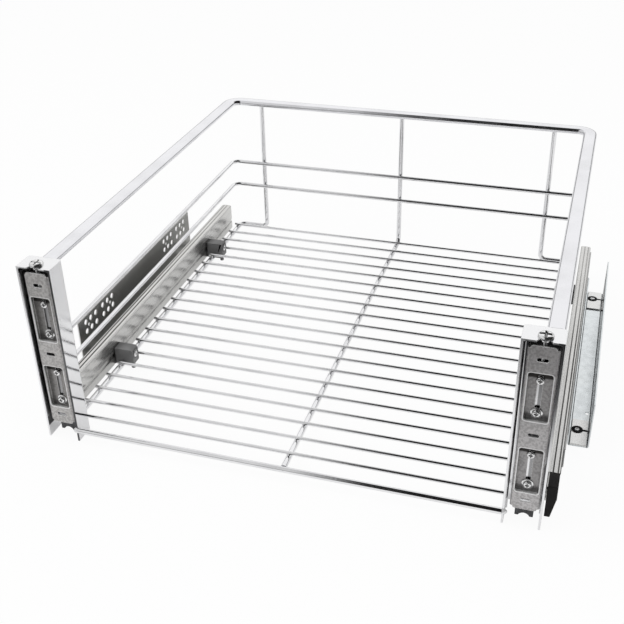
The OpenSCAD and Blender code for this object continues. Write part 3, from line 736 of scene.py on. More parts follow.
def grid_faces(rows: int, columns: int) -> Faces:
    """Quads of a grid of points whose columns close into a ring.

    Args:
        rows: Number of rings.
        columns: Points in each ring.

    Returns:
        Four point numbers for each quad.
    """
    row, column = np.meshgrid(np.arange(rows - 1), np.arange(columns), indexing="ij")
    here = row * columns + column
    aside = row * columns + (column + 1) % columns
    return np.stack([here, aside, aside + columns, here + columns], axis=-1).reshape(-1, 4)


def turned(radius: Points, height: Points) -> Points:
    """Surface of revolution about Z: x = r cos(a), y = r sin(a), z = h, rings by rows.

    Args:
        radius: Radius at each ring and angle.
        height: Height at each ring and angle.

    Returns:
        The points, ring after ring.
    """
    angle = angles(radius.shape[1])
    rings = [radius * np.cos(angle), radius * np.sin(angle), height + 0.0 * angle]
    return np.stack(rings, axis=-1).reshape(-1, 3)


def joined(shapes: Sequence[Shape]) -> Shape:
    """Several shapes as one, with the point numbers of each counted on from the last.

    Args:
        shapes: The shapes.

    Returns:
        Points and faces of all of them.
    """
    starts = np.cumsum([0] + [len(points) for points, _ in shapes[:-1]])
    points = np.concatenate([points for points, _ in shapes])
    faces = np.concatenate([faces + start for (_, faces), start in zip(shapes, starts)])
    return points, faces


def aimed(points: Points, axis: Sequence[float], place: Sequence[float]) -> Points:
    """Points with their Z axis turned to an axis and their origin moved to a place.

    Args:
        points: The points.
        axis: Direction of any length.
        place: Where the origin goes, in metres.

    Returns:
        The moved points.
    """
    w = np.asarray(axis, float) / np.linalg.norm(axis)
    side = np.array([0.0, 0.0, 1.0]) if abs(w[2]) < 0.9 else np.array([1.0, 0.0, 0.0])
    u = np.cross(side, w)
    u /= np.linalg.norm(u)
    return points @ np.stack([u, np.cross(w, u), w]) + np.asarray(place, float)


def smooth(value: Points, low: float, high: float) -> Points:
    """Smooth step of an array, from 0 at low to 1 at high."""
    t = np.clip((value - low) / (high - low), 0.0, 1.0)
    return t * t * (3.0 - 2.0 * t)


def box(name: str) -> Points:
    """Lowest corner, middle and highest corner of a node's box, as three rows."""
    low, high = (np.array(corner, float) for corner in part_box(name))
    return np.stack([low, (low + high) / 2, high])


@dataclass(frozen=True)
class PanScrew:
    """Pan-head screw with a tapered cross recess and a threaded shank, in millimetres.

    Its head points along +Z and its seat is at 0.  The arms' half width and taper are shares
    of the head's radius, and the collar is given by its radius, top and bottom.
    """

    # Its share of the recess's depth also places the painted shade in the recess.
    MARK: ClassVar[str] = "recess"
    head_radius: float
    head_height: float
    shank_radius: float
    shank_length: float
    pitch: float = 0.8
    thread_depth: float = 0.27
    recess_reach: float = 2.2
    recess_depth: float = 1.2
    recess_end: float = 0.8
    arm: float = 0.14
    taper: float = 0.055
    washer_radius: float = 0.0
    washer_height: float = 0.0
    washer_edge: float = 0.15
    collar: tuple[float, float, float] = (0.0, 0.0, 0.0)
    columns: int = 48

    def head(self) -> tuple[Points, Points, Points]:
        """Radius, height and recess of the head's rings.

        The head is a superellipse, r = R cos(t)^(2/5) and z = H sin(t)^(2/2.4).  The cross
        lowers it where the distance to one arm's middle line is small.

        Returns:
            Radii and heights in millimetres, and the share of the recess's depth.
        """
        # The rings stand closer together as far as the recess reaches.
        near = self.recess_reach * 1.15 / self.head_radius
        t = np.concatenate(
            [
                np.arccos(np.linspace(0.004, near, 16) ** 2.5),
                np.arccos(np.linspace(near + 0.05, 1.0, 12) ** 2.5),
            ]
        )
        radius = self.head_radius * np.cos(t) ** 0.4
        height = self.washer_height + self.head_height * np.sin(t) ** (2 / 2.4)
        rings_r, rings_z = [radius[:, None]], [height[:, None]]
        if self.washer_radius:
            w, h, edge = self.washer_radius, self.washer_height, self.washer_edge
            rings_r.append(np.array([self.head_radius, w - edge, w, w])[:, None])
            rings_z.append(np.array([h, h, h - edge, 0.0])[:, None])
        angle = angles(self.columns)
        radius = np.concatenate(rings_r) + 0.0 * angle
        height = np.concatenate(rings_z) + 0.0 * angle
        x, y = np.abs(radius * np.cos(angle)), np.abs(radius * np.sin(angle))
        arm, taper = self.arm * self.head_radius, self.taper * self.head_radius
        cut = smooth(-np.minimum(x, y), -arm - taper, -arm + taper)
        reach = self.recess_reach
        cut = cut * smooth(-np.maximum(x, y), -reach, -reach + self.recess_end)
        cut = cut * (height > self.washer_height + 0.2)
        return radius, height - self.recess_depth * cut, cut

    def shape(self, place: Sequence[float], axis: Optional[Sequence[float]] = None) -> Shape:
        """One closed surface of revolution: the head, then the shank.

        Args:
            place: Where its seat stands, in metres.
            axis: Direction of its head, or None to leave it along +Z.

        Returns:
            Points in metres, and faces.
        """
        radius, height, _ = self.head()
        shank_r, shank_z = self.shank()
        rings = np.concatenate([radius, shank_r]), np.concatenate([height, shank_z])
        points = turned(*rings) * MM
        points = aimed(points, axis, place) if axis else points + np.asarray(place, float)
        return points, grid_faces(len(rings[0]), self.columns)[:, ::-1]

    def marks(self) -> Points:
        """The share of the recess's depth at each point of the shape."""
        return np.concatenate([self.head()[2].ravel(), np.zeros(self.shank()[0].size)])

    def shank(self) -> tuple[Points, Points]:
        """Radius and height of the shank's rings, with its collar if it has one.

        The thread takes a share of its pitch off along a helix, as a triangle wave.

        Returns:
            The radii and the heights, in millimetres.
        """
        angle = angles(self.columns)
        steps = int(self.shank_length / self.pitch * 6)
        z = np.linspace(0.0, -self.shank_length, steps)[:, None]
        wave = np.abs((z / self.pitch + angle / (2.0 * np.pi)) % 1.0 - 0.5) * 2.0
        fade = smooth(-z, 0.2, 0.8) * smooth(self.shank_length + z, 0.1, 0.6)
        radius = self.shank_radius - self.thread_depth * self.pitch * wave * fade
        collar_r, low, high = self.collar
        if collar_r:
            radius = np.where((-z > low) & (-z < high), collar_r, radius)
        tip = np.array([[self.shank_radius * 0.8], [0.01]]) + 0.0 * angle
        tip_z = np.array([[-self.shank_length], [-self.shank_length]]) + 0.0 * angle
        return np.concatenate([radius, tip]), np.concatenate([z + 0.0 * angle, tip_z])


@dataclass(frozen=True)
class WeldBead:
    """Lump of metal pressed out round the contact of two crossing wires, in millimetres."""

    reach: float = 2.3
    rise: float = 1.15
    rings: int = 9
    columns: int = 20

    def shape(self, place: Sequence[float], up: Sequence[float], seed: float) -> Shape:
        """A flattened ball whose radius swells unevenly round its rim.

        r = reach sin(t) (1 + 0.1 sin(3a + seed) + 0.06 sin(5a + 2 seed)), z = rise cos(t).

        Args:
            place: The contact, in metres.
            up: Direction from one wire to the other.
            seed: Shifts the swellings, so that no two beads match.

        Returns:
            Points in metres, and faces.
        """
        t = np.linspace(0.001, np.pi - 0.001, self.rings)[:, None]
        a = angles(self.columns)
        swell = 1.0 + 0.10 * np.sin(3.0 * a + seed) + 0.06 * np.sin(5.0 * a + 2.0 * seed)
        points = turned(self.reach * np.sin(t) * swell, self.rise * np.cos(t) + 0.0 * a) * MM
        return aimed(points, up, place), grid_faces(self.rings, self.columns)[:, ::-1]


@dataclass(frozen=True)
class EyeShadowRing:
    """Black ring round an adjusting screw, with a tail in the slot, in millimetres: a dark piece
    that stands for the shadow in the pad's eye and slot.
    """

    outer: float = 4.9
    collar: float = 5.8
    inner: float = 3.7
    sheet: float = 1.5
    height: float = 1.95
    collar_gap: float = 0.05
    tail_start: float = 4.4
    tail_end: float = 12.0
    tail_radius: float = 1.0
    tail_bow: float = 0.5
    tail_height: float = 1.1
    tail_flat: float = 0.4

    def ring(self) -> Shape:
        """A bush with a collar that lies on the pad, as a section turned about Z.

        Returns:
            Points in metres, and faces.
        """
        low, high = self.sheet + self.collar_gap, self.height
        radius = np.array([1, 1, 0, 0, 0, 0, 1]) * self.outer
        radius[2:6] = [self.collar, self.collar, self.inner, self.inner]
        height = np.array([0.0, low, low, high, high, 0.0, 0.0])
        angle = np.zeros((1, 40))
        return turned(radius[:, None] + angle, height[:, None] + angle) * MM, grid_faces(7, 40)

    def tail(self) -> Shape:
        """A flattened tube: y = bow sin(1.5 pi t), radius = R (1 - |2t - 1|^6)^(1/2).

        Returns:
            Points in metres, and faces.
        """
        t, a = np.linspace(0.0, 1.0, 25)[:, None], angles(14)
        radius = self.tail_radius * np.sqrt(1.0 - 0.999 * np.abs(2.0 * t - 1.0) ** 6)
        along = self.tail_start + (self.tail_end - self.tail_start) * t + 0.0 * a
        aside = self.tail_bow * np.sin(1.5 * np.pi * t) + radius * np.cos(a)
        up = self.tail_height + radius * self.tail_flat * np.sin(a)
        return np.stack([along, aside, up], axis=-1).reshape(-1, 3) * MM, grid_faces(25, 14)

    def shape(self, place: Sequence[float], way: int) -> Shape:
        """Ring and tail at a place, turned by half a turn if the tail points the other way.

        Args:
            place: Middle of the ring's underside, in metres.
            way: 1 if the tail points along +X, -1 if along -X.

        Returns:
            Points in metres, and faces.
        """
        points, faces = joined([self.ring(), self.tail()])
        return points * np.array([way, way, 1.0]) + np.asarray(place, float), faces


# ---------------------------------------- workshop


def linked(name: str, data: Any) -> bpy.types.Object:
    """A new object in the scene, at the origin.

    Args:
        name: Name of the object.
        data: Its mesh, camera or light.

    Returns:
        The object.
    """
    made = bpy.data.objects.new(name, data)
    bpy.context.scene.collection.objects.link(made)
    return made


def shaded(mesh: bpy.types.Mesh, sharp: float) -> None:
    """Smooth faces, with creases at edges that are sharper than an angle."""
    mesh.polygons.foreach_set("use_smooth", np.ones(len(mesh.polygons), bool))
    mesh.set_sharp_from_angle(angle=sharp)


class Workshop:
    """Builds each finish once, dresses CAD nodes and adds pieces that ride on their bodies."""

    CREASE: ClassVar[float] = math.radians(50)
    SHARP: ClassVar[float] = math.radians(40)
    FLAT: ClassVar[float] = math.radians(0.5)
    MERGE: ClassVar[float] = 1e-7

    def __init__(self, frame: Mapping[str, Any]) -> None:
        """Keeps the CAD nodes, their bodies and their material slots by name.

        Args:
            frame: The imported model.
        """
        record = frame["record"]
        self.nodes: Mapping[str, bpy.types.Object] = frame["nodes"]
        self.body = {
            node: body
            for body, members in record["behaviour"]["bodies"].items()
            for node in members
        }
        self.slot = {part["node"]: part["material_slot"] for part in record["subparts"]}
        self.made: dict[str, bpy.types.Material] = {}
        self.done: set[str] = set()

    def material(self, finish: Finish) -> bpy.types.Material:
        """The finish's material, built at its first use.

        Args:
            finish: The finish.

        Returns:
            Its material.
        """
        if finish.name not in self.made:
            self.made[finish.name] = finish.build()
        return self.made[finish.name]

    def dress(self, finish: Finish, *names: str) -> None:
        """Puts a finish on CAD nodes.

        Args:
            finish: The finish.
            names: Names of the nodes.
        """
        for name in names:
            slots = self.nodes[name].data.materials
            slots.clear()
            slots.append(self.material(finish))
            self.done.add(name)
            LOG.info("dressed %s with %s", name, finish.name)

    def piece(
        self,
        name: str,
        shape: Shape,
        finish: Finish,
        like: str,
        stands_for: bool = False,
        marks: Optional[Points] = None,
    ) -> bpy.types.Object:
        """Adds a piece with smooth faces.

        Args:
            name: Name of the piece.
            shape: Points in metres, and faces.
            finish: Its finish.
            like: CAD node whose body it shares.
            stands_for: True if it replaces that node.
            marks: Share of a screw recess's depth at each point.

        Returns:
            The new object.
        """
        points, faces = shape
        mesh = bpy.data.meshes.new(name)
        mesh.from_pydata(points.tolist(), [], faces.tolist())
        if marks is not None:
            mesh.attributes.new(PanScrew.MARK, "FLOAT", "POINT").data.foreach_set("value", marks)
        mesh.materials.append(self.material(finish))
        shaded(mesh, self.CREASE)
        mesh.update()
        return self.settle(linked(name, mesh), like, stands_for)

    def screws(
        self,
        node: str,
        screws: Sequence[PanScrew],
        places: Sequence[Sequence[float]],
        axes: Sequence[Optional[Sequence[float]]],
    ) -> None:
        """Replaces a node by threaded screws whose recesses are marked.

        Args:
            node: The node.
            screws: Its screws.
            places: Where each one's seat stands, in metres.
            axes: Direction of each one's head, or None for +Z.
        """
        shapes = [screw.shape(place, axis) for screw, place, axis in zip(screws, places, axes)]
        marks = np.concatenate([screw.marks() for screw in screws])
        self.piece(f"{node}_threaded", joined(shapes), SCREW_FINISH, node, True, marks)

    def settle(self, made: bpy.types.Object, like: str, stands_for: bool) -> bpy.types.Object:
        """Lets a piece ride with a node's body, and hides the node if it stands for it.

        Args:
            made: The piece.
            like: The node.
            stands_for: True if the piece replaces it.

        Returns:
            The piece.
        """
        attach(made, self.body[like])
        if stands_for:
            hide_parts(like)
            self.done.add(like)
        LOG.info("made %s", made.name)
        return made

    def soften(
        self, name: str, finish: Finish, width: float = 0.25, worn_edge_highlight: Optional[Finish] = None
    ) -> bpy.types.Object:
        """Replaces a node by a copy whose sharp edges are rounded as pressing leaves them.

        Args:
            name: Name of the node.
            finish: Its finish.
            width: Width of the rounding in millimetres.
            worn_edge_highlight: Finish of the rounded edges and punched walls, which are rubbed
                and carry a painted highlight, if they have one.

        Returns:
            The copy.
        """
        mesh = self.nodes[name].data.copy()
        mesh.name = f"{name}_edged"
        if "custom_normal" in mesh.attributes:
            mesh.attributes.remove(mesh.attributes["custom_normal"])
        work = bmesh.new()
        work.from_mesh(mesh)
        bmesh.ops.remove_doubles(work, verts=work.verts, dist=self.MERGE)
        bmesh.ops.dissolve_limit(
            work, angle_limit=self.FLAT, verts=work.verts, edges=work.edges
        )
        work.to_mesh(mesh)
        work.free()
        mesh.materials.clear()
        mesh.materials.append(self.material(finish))
        shaded(mesh, self.SHARP)
        if worn_edge_highlight:
            mesh.materials.append(self.material(worn_edge_highlight))
            self.show_cuts(mesh)
        made = linked(f"{name}_edged", mesh)
        edge = made.modifiers.new("edge", "BEVEL")
        edge.width = width * MM
        edge.segments = 2
        edge.limit_method = "ANGLE"
        edge.angle_limit = self.SHARP
        edge.use_clamp_overlap = False
        # The rounded edges take the second material if there is one: wear and a painted highlight.
        edge.material = 1 if worn_edge_highlight else 0
        edge.harden_normals = True
        return self.settle(made, name, True)

    def show_cuts(self, mesh: bpy.types.Mesh, depth: float = 0.0026) -> None:
        """Gives the second material, rubbed and painted lighter as a highlight, to the walls that
        the punch left in the front sheet.

        Args:
            mesh: A piece whose front sheet stands across Y.
            depth: How far behind the foremost point the walls' middles may lie.
        """
        count = len(mesh.polygons)
        centre, normal = np.empty(count * 3), np.empty(count * 3)
        mesh.polygons.foreach_get("center", centre)
        mesh.polygons.foreach_get("normal", normal)
        y, across = centre.reshape(-1, 3)[:, 1], np.abs(normal.reshape(-1, 3)[:, 1])
        cut = (across < 0.5) & (y < y.min() + depth)
        mesh.polygons.foreach_set("material_index", cut.astype(np.int32))

    def bare(self) -> list[str]:
        """CAD nodes that no sub-assembly has finished."""
        return sorted(set(self.nodes) - self.done)


# ---------------------------------------- sub-assemblies


class Side(Enum):
    """The two sides of the basket, as one sees it from the door."""

    LEFT = -1
    RIGHT = 1

    def node(self, name: str) -> str:
        """The full name of this side's node."""
        return f"{self.name.lower()}_{name}"


@dataclass
class WireBasket:
    """The welded basket: rim, guard wires, frame wires, front rail and floor wires.

    The beads' seeds come from the place across, the height and the number of the wire.
    """

    floor_wires: int = 20
    frame_x: tuple[float, ...] = (-0.237, 0.0, 0.237)
    upright_x: tuple[float, ...] = (-0.1965, 0.0, 0.1965)
    guard_z: tuple[float, ...] = (0.114, 0.080)
    collar_back: float = 0.0005
    seed_x: float = 40.0
    seed_z: float = 90.0
    seed_number: float = 2.4
    bead: WeldBead = WeldBead()
    collar: WeldBead = WeldBead(reach=2.9, rise=5.0)
    rim_finish: Chrome = Chrome(
        "chrome_rim",
        colour=(0.86, 0.86, 0.885),
        shade=(0.70, 0.70, 0.72),
        grain=Grain.ALONG_Y,
        roughness=0.09,
        haze=0.16,
    )
    wire_finish: Chrome = Chrome("chrome_wire", roughness=0.07)
    floor_finish: Chrome = Chrome("chrome_floor_wire", grain=Grain.ALONG_X, roughness=0.06)
    collar_finish: Chrome = Chrome("chrome_weld_collar", roughness=0.35, metallic=0.5)

    def build(self, shop: Workshop) -> None:
        """Chromes every wire and adds the weld beads where wires cross.

        Args:
            shop: Makes the pieces.
        """
        guards = ("upper_guard_wire", "lower_guard_wire")
        frames = ("left_frame_wire", "centre_frame_wire", "right_frame_wire")
        floor = [f"floor_wire_{i + 1}" for i in range(self.floor_wires)]
        shop.dress(self.rim_finish, "top_rim")
        shop.dress(self.wire_finish, *guards, *frames)
        shop.dress(self.floor_finish, "front_rail", *floor)
        shapes = []
        for number, name in enumerate(floor):
            low, middle, high = box(name)
            seed = number * self.seed_number
            shapes += [
                self.bead.shape((x, middle[1], low[2]), (0, 0, 1), seed + x * self.seed_x)
                for x in self.frame_x
                if low[0] < x < high[0]
            ]
        back = box(guards[0])[2, 1]
        shapes += [
            self.bead.shape((x, back, z), (0, 1, 0), z * self.seed_z + x * self.seed_x)
            for x in self.upright_x
            for z in self.guard_z
        ]
        shop.piece("weld_beads", joined(shapes), self.wire_finish, "top_rim")
        low, (_, y, z), high = box("front_rail")
        collars = [
            self.collar.shape((x, y + self.collar_back, z), (1, 0, 0), x * self.seed_x)
            for x in (low[0], high[0])
        ]
        shop.piece("rail_weld_collars", joined(collars), self.collar_finish, "front_rail")


@dataclass
class DoorCorner:
    """Bracket, door plate, screws and foot at one front corner.

    The widths of the rounded edges are in millimetres.
    """

    side: Side
    bracket_finish: ChannelChrome
    plate_finish: PlateSteel
    clamp_pitch: float = 0.034
    bracket_round: float = 0.3
    plate_round: float = 0.2
    foot_round: float = 0.4
    plain_screw: PanScrew = PanScrew(4.0, 2.6, 2.0, 6.6)
    washer_screw: PanScrew = PanScrew(4.0, 2.6, 2.0, 6.6, washer_radius=5.5, washer_height=0.8)
    lift_screw: PanScrew = PanScrew(
        7.0, 3.0, 2.5, 23.1, pitch=1.0, recess_reach=5.6, recess_depth=1.6, collar=(4.0, 2.2, 3.4)
    )
    # Rubbed plating and a painted highlight on the plate's rounded edges and punched walls.
    plate_edge_wear_and_highlight: Chrome = Chrome(
        "rubbed_plate_edge",
        colour=(0.92, 0.92, 0.92),
        shade=(0.7, 0.7, 0.7),
        roughness=0.25,
        metallic=0.35,
    )
    foot_finish: Plastic = Plastic(
        "foot_plastic", colour=(0.035, 0.035, 0.037), rubbed=(0.10, 0.10, 0.11)
    )

    def build(self, shop: Workshop) -> None:
        """Edges the sheet pieces and makes the screws with their threads.

        Args:
            shop: Makes the pieces.
        """
        bracket, plate = self.side.node("door_bracket"), self.side.node("door_plate")
        chrome = replace(self.bracket_finish, middle=box(bracket)[1, 0])
        steel = replace(self.plate_finish, middle=box(plate)[1, 0])
        shop.soften(bracket, chrome, self.bracket_round)
        shop.soften(plate, steel, self.plate_round, worn_edge_highlight=self.plate_edge_wear_and_highlight)
        shop.soften(self.side.node("bracket_foot"), self.foot_finish, self.foot_round)
        self.clamps(shop)
        lift = self.side.node("height_screw")
        _, (x, y, _), high = box(lift)
        seat = high[2] - self.lift_screw.head_height * MM
        shop.screws(lift, [self.lift_screw], [(x, y, seat)], [None])

    def clamps(self, shop: Workshop) -> None:
        """The four clamping screws, in two pairs whose lower screw has a washer.

        Args:
            shop: Makes the pieces.
        """
        node = self.side.node("clamping_screws")
        low, (x, _, _), high = box(node)
        plain, washer = self.plain_screw, self.washer_screw
        seat = low[1] + (plain.head_height + washer.washer_height) * MM
        lowest, highest = low[2] + washer.washer_radius * MM, high[2] - plain.head_radius * MM
        heights = (lowest, lowest + self.clamp_pitch, highest - self.clamp_pitch, highest)
        places = [(x, seat, z) for z in heights]
        shop.screws(node, [washer, plain, washer, plain], places, [(0, -1, 0)] * 4)


@dataclass
class Runner:
    """Moving profile with its clips, and the members that run inside it."""

    side: Side
    profile_round: float = 0.2
    clip_round: float = 0.5
    profile_finish: SeamedSteel = SeamedSteel(
        "satin_profile",
        colour=(0.76, 0.755, 0.74),
        shade=(0.62, 0.615, 0.60),
        roughness=0.22,
        spread=0.10,
    )
    rail_finish: SatinSteel = SatinSteel("satin_rail")
    # The clips are darkened next to the profile, painted shade in the gap.
    clip_finish: Plastic = Plastic(
        "clip_plastic", colour=(0.14, 0.14, 0.14), rubbed=(0.22, 0.22, 0.22), gap_shade_from=0.2462
    )

    def build(self, shop: Workshop) -> None:
        """Satin steel on the members and dark plastic on the clips.

        Args:
            shop: Makes the pieces.
        """
        shop.soften(self.side.node("side_profile"), self.profile_finish, self.profile_round)
        members = ("middle_rail", "inner_ball_cage", "outer_ball_cage", "cabinet_rail")
        shop.dress(self.rail_finish, *map(self.side.node, members))
        for clip in ("front_clip", "rear_clip"):
            shop.soften(self.side.node(clip), self.clip_finish, self.clip_round)


@dataclass
class ClipScrews:
    """The four screws that hold the clips, and the cap beside the right bracket."""

    screw: PanScrew = PanScrew(4.25, 1.6, 2.0, 24.4, recess_depth=0.8)
    height: float = 0.0235
    cap_round: float = 0.5
    cap_finish: Plastic = Plastic(
        "cap_plastic", colour=(0.008, 0.007, 0.007), rubbed=(0.018, 0.016, 0.016), gloss=0.15
    )

    def build(self, shop: Workshop) -> None:
        """Puts a screw through each clip, head towards the middle, and edges the cap.

        Args:
            shop: Makes the pieces.
        """
        places, axes = [], []
        for side in Side:
            for clip in ("front_clip", "rear_clip"):
                low, (_, y, _), high = box(side.node(clip))
                inner, way = (high[0], 1) if side is Side.LEFT else (low[0], -1)
                places.append((inner - way * self.screw.head_height * MM, y, self.height))
                axes.append((way, 0, 0))
        shop.screws("clip_screws", [self.screw] * len(places), places, axes)
        shop.soften("right_profile_cap", self.cap_finish, self.cap_round)


@dataclass
class CabinetSide:
    """Perforated bracket on the cabinet's side, with its pads and adjusting screws."""

    side: Side
    zinc: ZincPlate
    screw: PanScrew = PanScrew(3.2, 2.4, 2.0, 1.5, recess_reach=1.7, recess_depth=0.5)
    pad_finish: SatinCoat = SatinCoat("pad_coat")
    # A black ring and tail that stand for the shadow in each eye and slot.
    shadow_ring: EyeShadowRing = EyeShadowRing()
    shadow_ring_gap: float = 0.00005
    shadow_ring_finish: Plastic = Plastic(
        "liner_rubber", colour=(0.010, 0.010, 0.010), rubbed=(0.02, 0.02, 0.02), roughness=0.6
    )

    def build(self, shop: Workshop) -> None:
        """Zinc on the bracket, a pale coat on the pads, bright screws, and black rings that stand
        for the shadow in the pads' eyes and slots.

        Args:
            shop: Makes the pieces.
        """
        pads, screws = self.side.node("adjuster_pads"), self.side.node("adjusting_screws")
        shop.soften(self.side.node("cabinet_bracket"), self.zinc)
        shop.soften(pads, self.pad_finish)
        low, (x, _, _), high = box(screws)
        radius = self.screw.head_radius * MM
        seat = high[2] - self.screw.head_height * MM
        ledge = box(pads)[0, 2] + self.shadow_ring_gap
        middles = (low[1] + radius, high[1] - radius)
        shapes = [self.screw.shape((x, y, seat)) for y in middles]
        shop.piece(f"{screws}_crossed", joined(shapes), SCREW_FINISH, screws, True)
        # Painted shadow: black rings and tails put in the pads' eyes and slots, where there is
        # only shade.
        shadow_rings = [self.shadow_ring.shape((x, y, ledge), self.side.value) for y in middles]
        name = self.side.node("eye_liners")
        shop.piece(name, joined(shadow_rings), self.shadow_ring_finish, screws)


SubAssembly = Union[WireBasket, DoorCorner, Runner, ClipScrews, CabinetSide]


def sub_assemblies() -> list[SubAssembly]:
    """Every sub-assembly, with the finishes that differ between the two sides as lit and shaded
    copies.

    Returns:
        The basket, then the left side and the right side.
    """
    # Painted light: each pair below is one finish, lighter, darker or shaded differently on each
    # side.
    left_plate = PlateSteel(
        "satin_left_plate",
        colour=(0.66, 0.645, 0.635),
        shade=(0.47, 0.46, 0.45),
        window_recess_shade=0.45,
    )
    right_plate = PlateSteel(
        "satin_right_plate",
        colour=(0.62, 0.605, 0.605),
        shade=(0.43, 0.42, 0.42),
        upper_shade=0.16,
    )
    left_bracket = ChannelChrome("chrome_left_bracket", rubbed=0.15, slide_mark=-0.0010)
    right_bracket = ChannelChrome("chrome_right_bracket", shade_from_z=0.06)
    grey_zinc = ZincPlate(
        "grey_zinc",
        colour=(0.64, 0.64, 0.625),
        shade=(0.50, 0.50, 0.49),
        tint=(0.58, 0.575, 0.545),
    )
    pale_zinc = ZincPlate(
        "pale_zinc",
        colour=(0.80, 0.835, 0.85),
        shade=(0.70, 0.735, 0.75),
        tint=(0.80, 0.80, 0.76),
        roughness=0.20,
        shaded_lines=(0.2646, 0.2822),
    )
    return [
        WireBasket(),
        ClipScrews(),
        DoorCorner(Side.LEFT, left_bracket, left_plate),
        Runner(Side.LEFT),
        CabinetSide(Side.LEFT, grey_zinc),
        DoorCorner(Side.RIGHT, right_bracket, right_plate),
        Runner(Side.RIGHT),
        CabinetSide(Side.RIGHT, pale_zinc),
    ]


# ---------------------------------------- studio


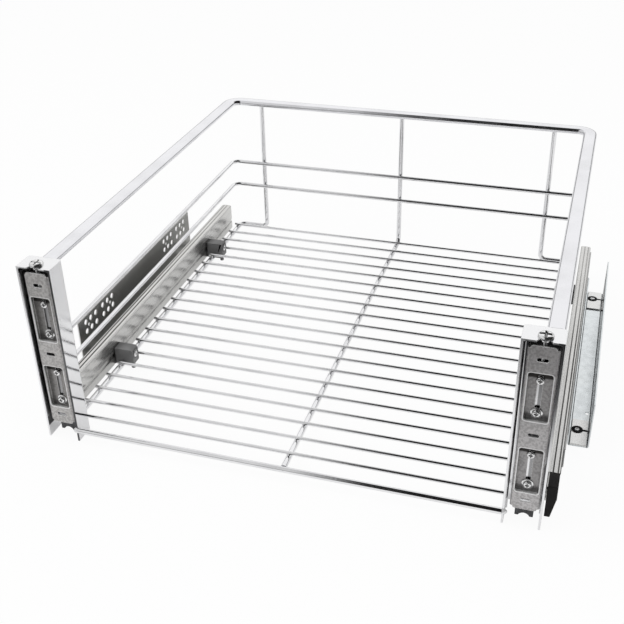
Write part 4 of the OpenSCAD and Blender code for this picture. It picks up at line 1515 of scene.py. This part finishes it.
@dataclass
class Studio:
    """Pale floor, soft lights, the surroundings that the metal reflects, and the camera.

    The pairs named after an axis are where a cloth's edge starts and ends: on the floor in
    metres, all round as parts of a direction.  The levels are those of the soft light, of the
    white that the camera and the metal see, and of a grey and a black cloth.
    """

    lens: float = 55.08
    sensor: float = 36.0
    place: tuple[float, float, float] = (0.25266, -0.93488, 0.62770)
    turn: tuple[float, float, float] = (58.94666, 1.10183, 17.24521)
    floor_size: float = 30.0
    floor_level: float = -0.0004
    floor_cloth_y: tuple[float, float] = (-0.62, -0.40)
    floor_cloth_x: tuple[float, float] = (-0.55, -0.25)
    above_z: tuple[float, float] = (-0.20, 0.04)
    ahead_y: tuple[float, float] = (0.35, 0.75)
    left_x: tuple[float, float] = (-0.28, -0.18)
    skirt_foot_z: tuple[float, float] = (-0.04, 0.02)
    skirt_top_z: tuple[float, float] = (0.10, 0.28)
    skirt_share: float = 0.75
    levels: tuple[float, ...] = (0.62, 1.0, 0.72, 0.010)
    key_place: tuple[float, float, float] = (-1.2, -0.6, 1.9)
    key_energy: float = 14.0
    fill_place: tuple[float, float, float] = (1.5, -0.4, 1.6)
    fill_energy: float = 7.0
    lamp_size: float = 1.4
    aim_height: float = 0.1

    def camera(self) -> None:
        """The camera, above the basket's front and a little to its right."""
        data = bpy.data.cameras.new("camera")
        data.lens = self.lens
        data.sensor_width = self.sensor
        data.sensor_fit = "HORIZONTAL"
        data.clip_start = 0.01
        data.clip_end = 100.0
        camera = linked("camera", data)
        camera.location = self.place
        camera.rotation_euler = Euler([math.radians(a) for a in self.turn], "XYZ")
        bpy.context.scene.camera = camera

    def floor(self) -> None:
        """A flat pale sheet under the object, a hair below it, with a dark cloth in front."""
        half = self.floor_size / 2
        mesh = bpy.data.meshes.new("floor")
        corners = [(-half, -half), (half, -half), (half, half), (-half, half)]
        mesh.from_pydata([(x, y, self.floor_level) for x, y in corners], [], [(0, 1, 2, 3)])
        material, g = new_material("floor_paper")
        place = g.place()
        colour = g.mix(g.noise(place, 40.0) * 0.2, (0.93, 0.93, 0.93), (0.90, 0.90, 0.90))
        paper = g.value("ShaderNodeBsdfDiffuse", {}, {"Color": colour})
        x, y, _ = g.parts(place)
        cloth = (1.0 - y.step(*self.floor_cloth_y)) * (x.step(*self.floor_cloth_x) * 0.45 + 0.55)
        camera, metal = self.rays(g)
        glow, shade = (
            g.value("ShaderNodeEmission", {}, {"Color": light})
            for light in ((1.0, 1.0, 1.0), (0.05, 0.05, 0.052))
        )
        lit = g.blend(camera * 0.94 + metal * 0.35, paper, glow)
        whole = g.blend(metal * cloth, lit, shade)
        g.node("ShaderNodeOutputMaterial", {}, {"Surface": whole})
        mesh.materials.append(material)
        linked("floor", mesh)

    def rays(self, g: Graph) -> tuple[Sock, Sock]:
        """Tells apart the rays that reach the floor or the surroundings.

        Args:
            g: Graph of the floor's material or of the world.

        Returns:
            1 for rays straight from the camera, and 1 for those that metal or glass sends on.
        """
        camera, glossy, through = (
            g.value("ShaderNodeLightPath", output=f"Is {kind} Ray")
            for kind in ("Camera", "Glossy", "Transmission")
        )
        return camera, glossy.maximum(through) * (1.0 - camera)

    def surroundings(self) -> None:
        """White all round, with dark cloths in front, overhead and low down for the metal."""
        world = bpy.data.worlds.new("studio")
        bpy.context.scene.world = world
        world.use_nodes = True
        g = Graph(world.node_tree)
        x, y, z = g.parts(g.value("ShaderNodeTexCoord", output="Generated"))
        camera, metal = self.rays(g)
        ahead = 1.0 - y.step(*self.ahead_y)
        left = 1.0 - x.step(*self.left_x)
        skirt = z.step(*self.skirt_foot_z) * (1.0 - z.step(*self.skirt_top_z))
        dark = (z.step(*self.above_z) * ahead * (1.0 - left)).maximum(skirt * self.skirt_share)
        soft, white, grey, black = (
            g.value("ShaderNodeBackground", {}, {"Color": (1.0, 1.0, 1.0), "Strength": level})
            for level in self.levels
        )
        seen = g.blend(camera.maximum(metal), soft, white)
        aside = g.blend(metal * ahead * left, seen, grey)
        whole = g.blend(metal * dark, aside, black)
        g.node("ShaderNodeOutputWorld", {}, {"Surface": whole})

    def lamp(self, name: str, place: Sequence[float], energy: float) -> None:
        """A square soft light that faces the basket's middle.

        Args:
            name: Name of the light.
            place: Where it hangs, in metres.
            energy: Its power in watts.
        """
        data = bpy.data.lights.new(name, "AREA")
        data.energy = energy
        data.size = self.lamp_size
        light = linked(name, data)
        light.visible_glossy = False
        light.location = place
        x, y, z = place
        tilt = math.atan2(math.hypot(x, y), z - self.aim_height)
        light.rotation_euler = (tilt, 0.0, math.atan2(x, -y))

    def build(self) -> None:
        """Builds the whole studio."""
        self.camera()
        self.floor()
        self.surroundings()
        self.lamp("key", self.key_place, self.key_energy)
        self.lamp("fill", self.fill_place, self.fill_energy)


def main() -> None:
    """Builds the sub-assemblies in order."""
    logging.basicConfig(level=logging.INFO, format="%(name)s: %(message)s")
    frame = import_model()
    bpy.context.scene.view_settings.view_transform = "Standard"
    shop = Workshop(frame)
    for part in sub_assemblies():
        part.build(shop)
    if shop.bare():
        LOG.warning("not dressed: %s", shop.bare())
    Studio().build()


if __name__ == "__main__":
    main()
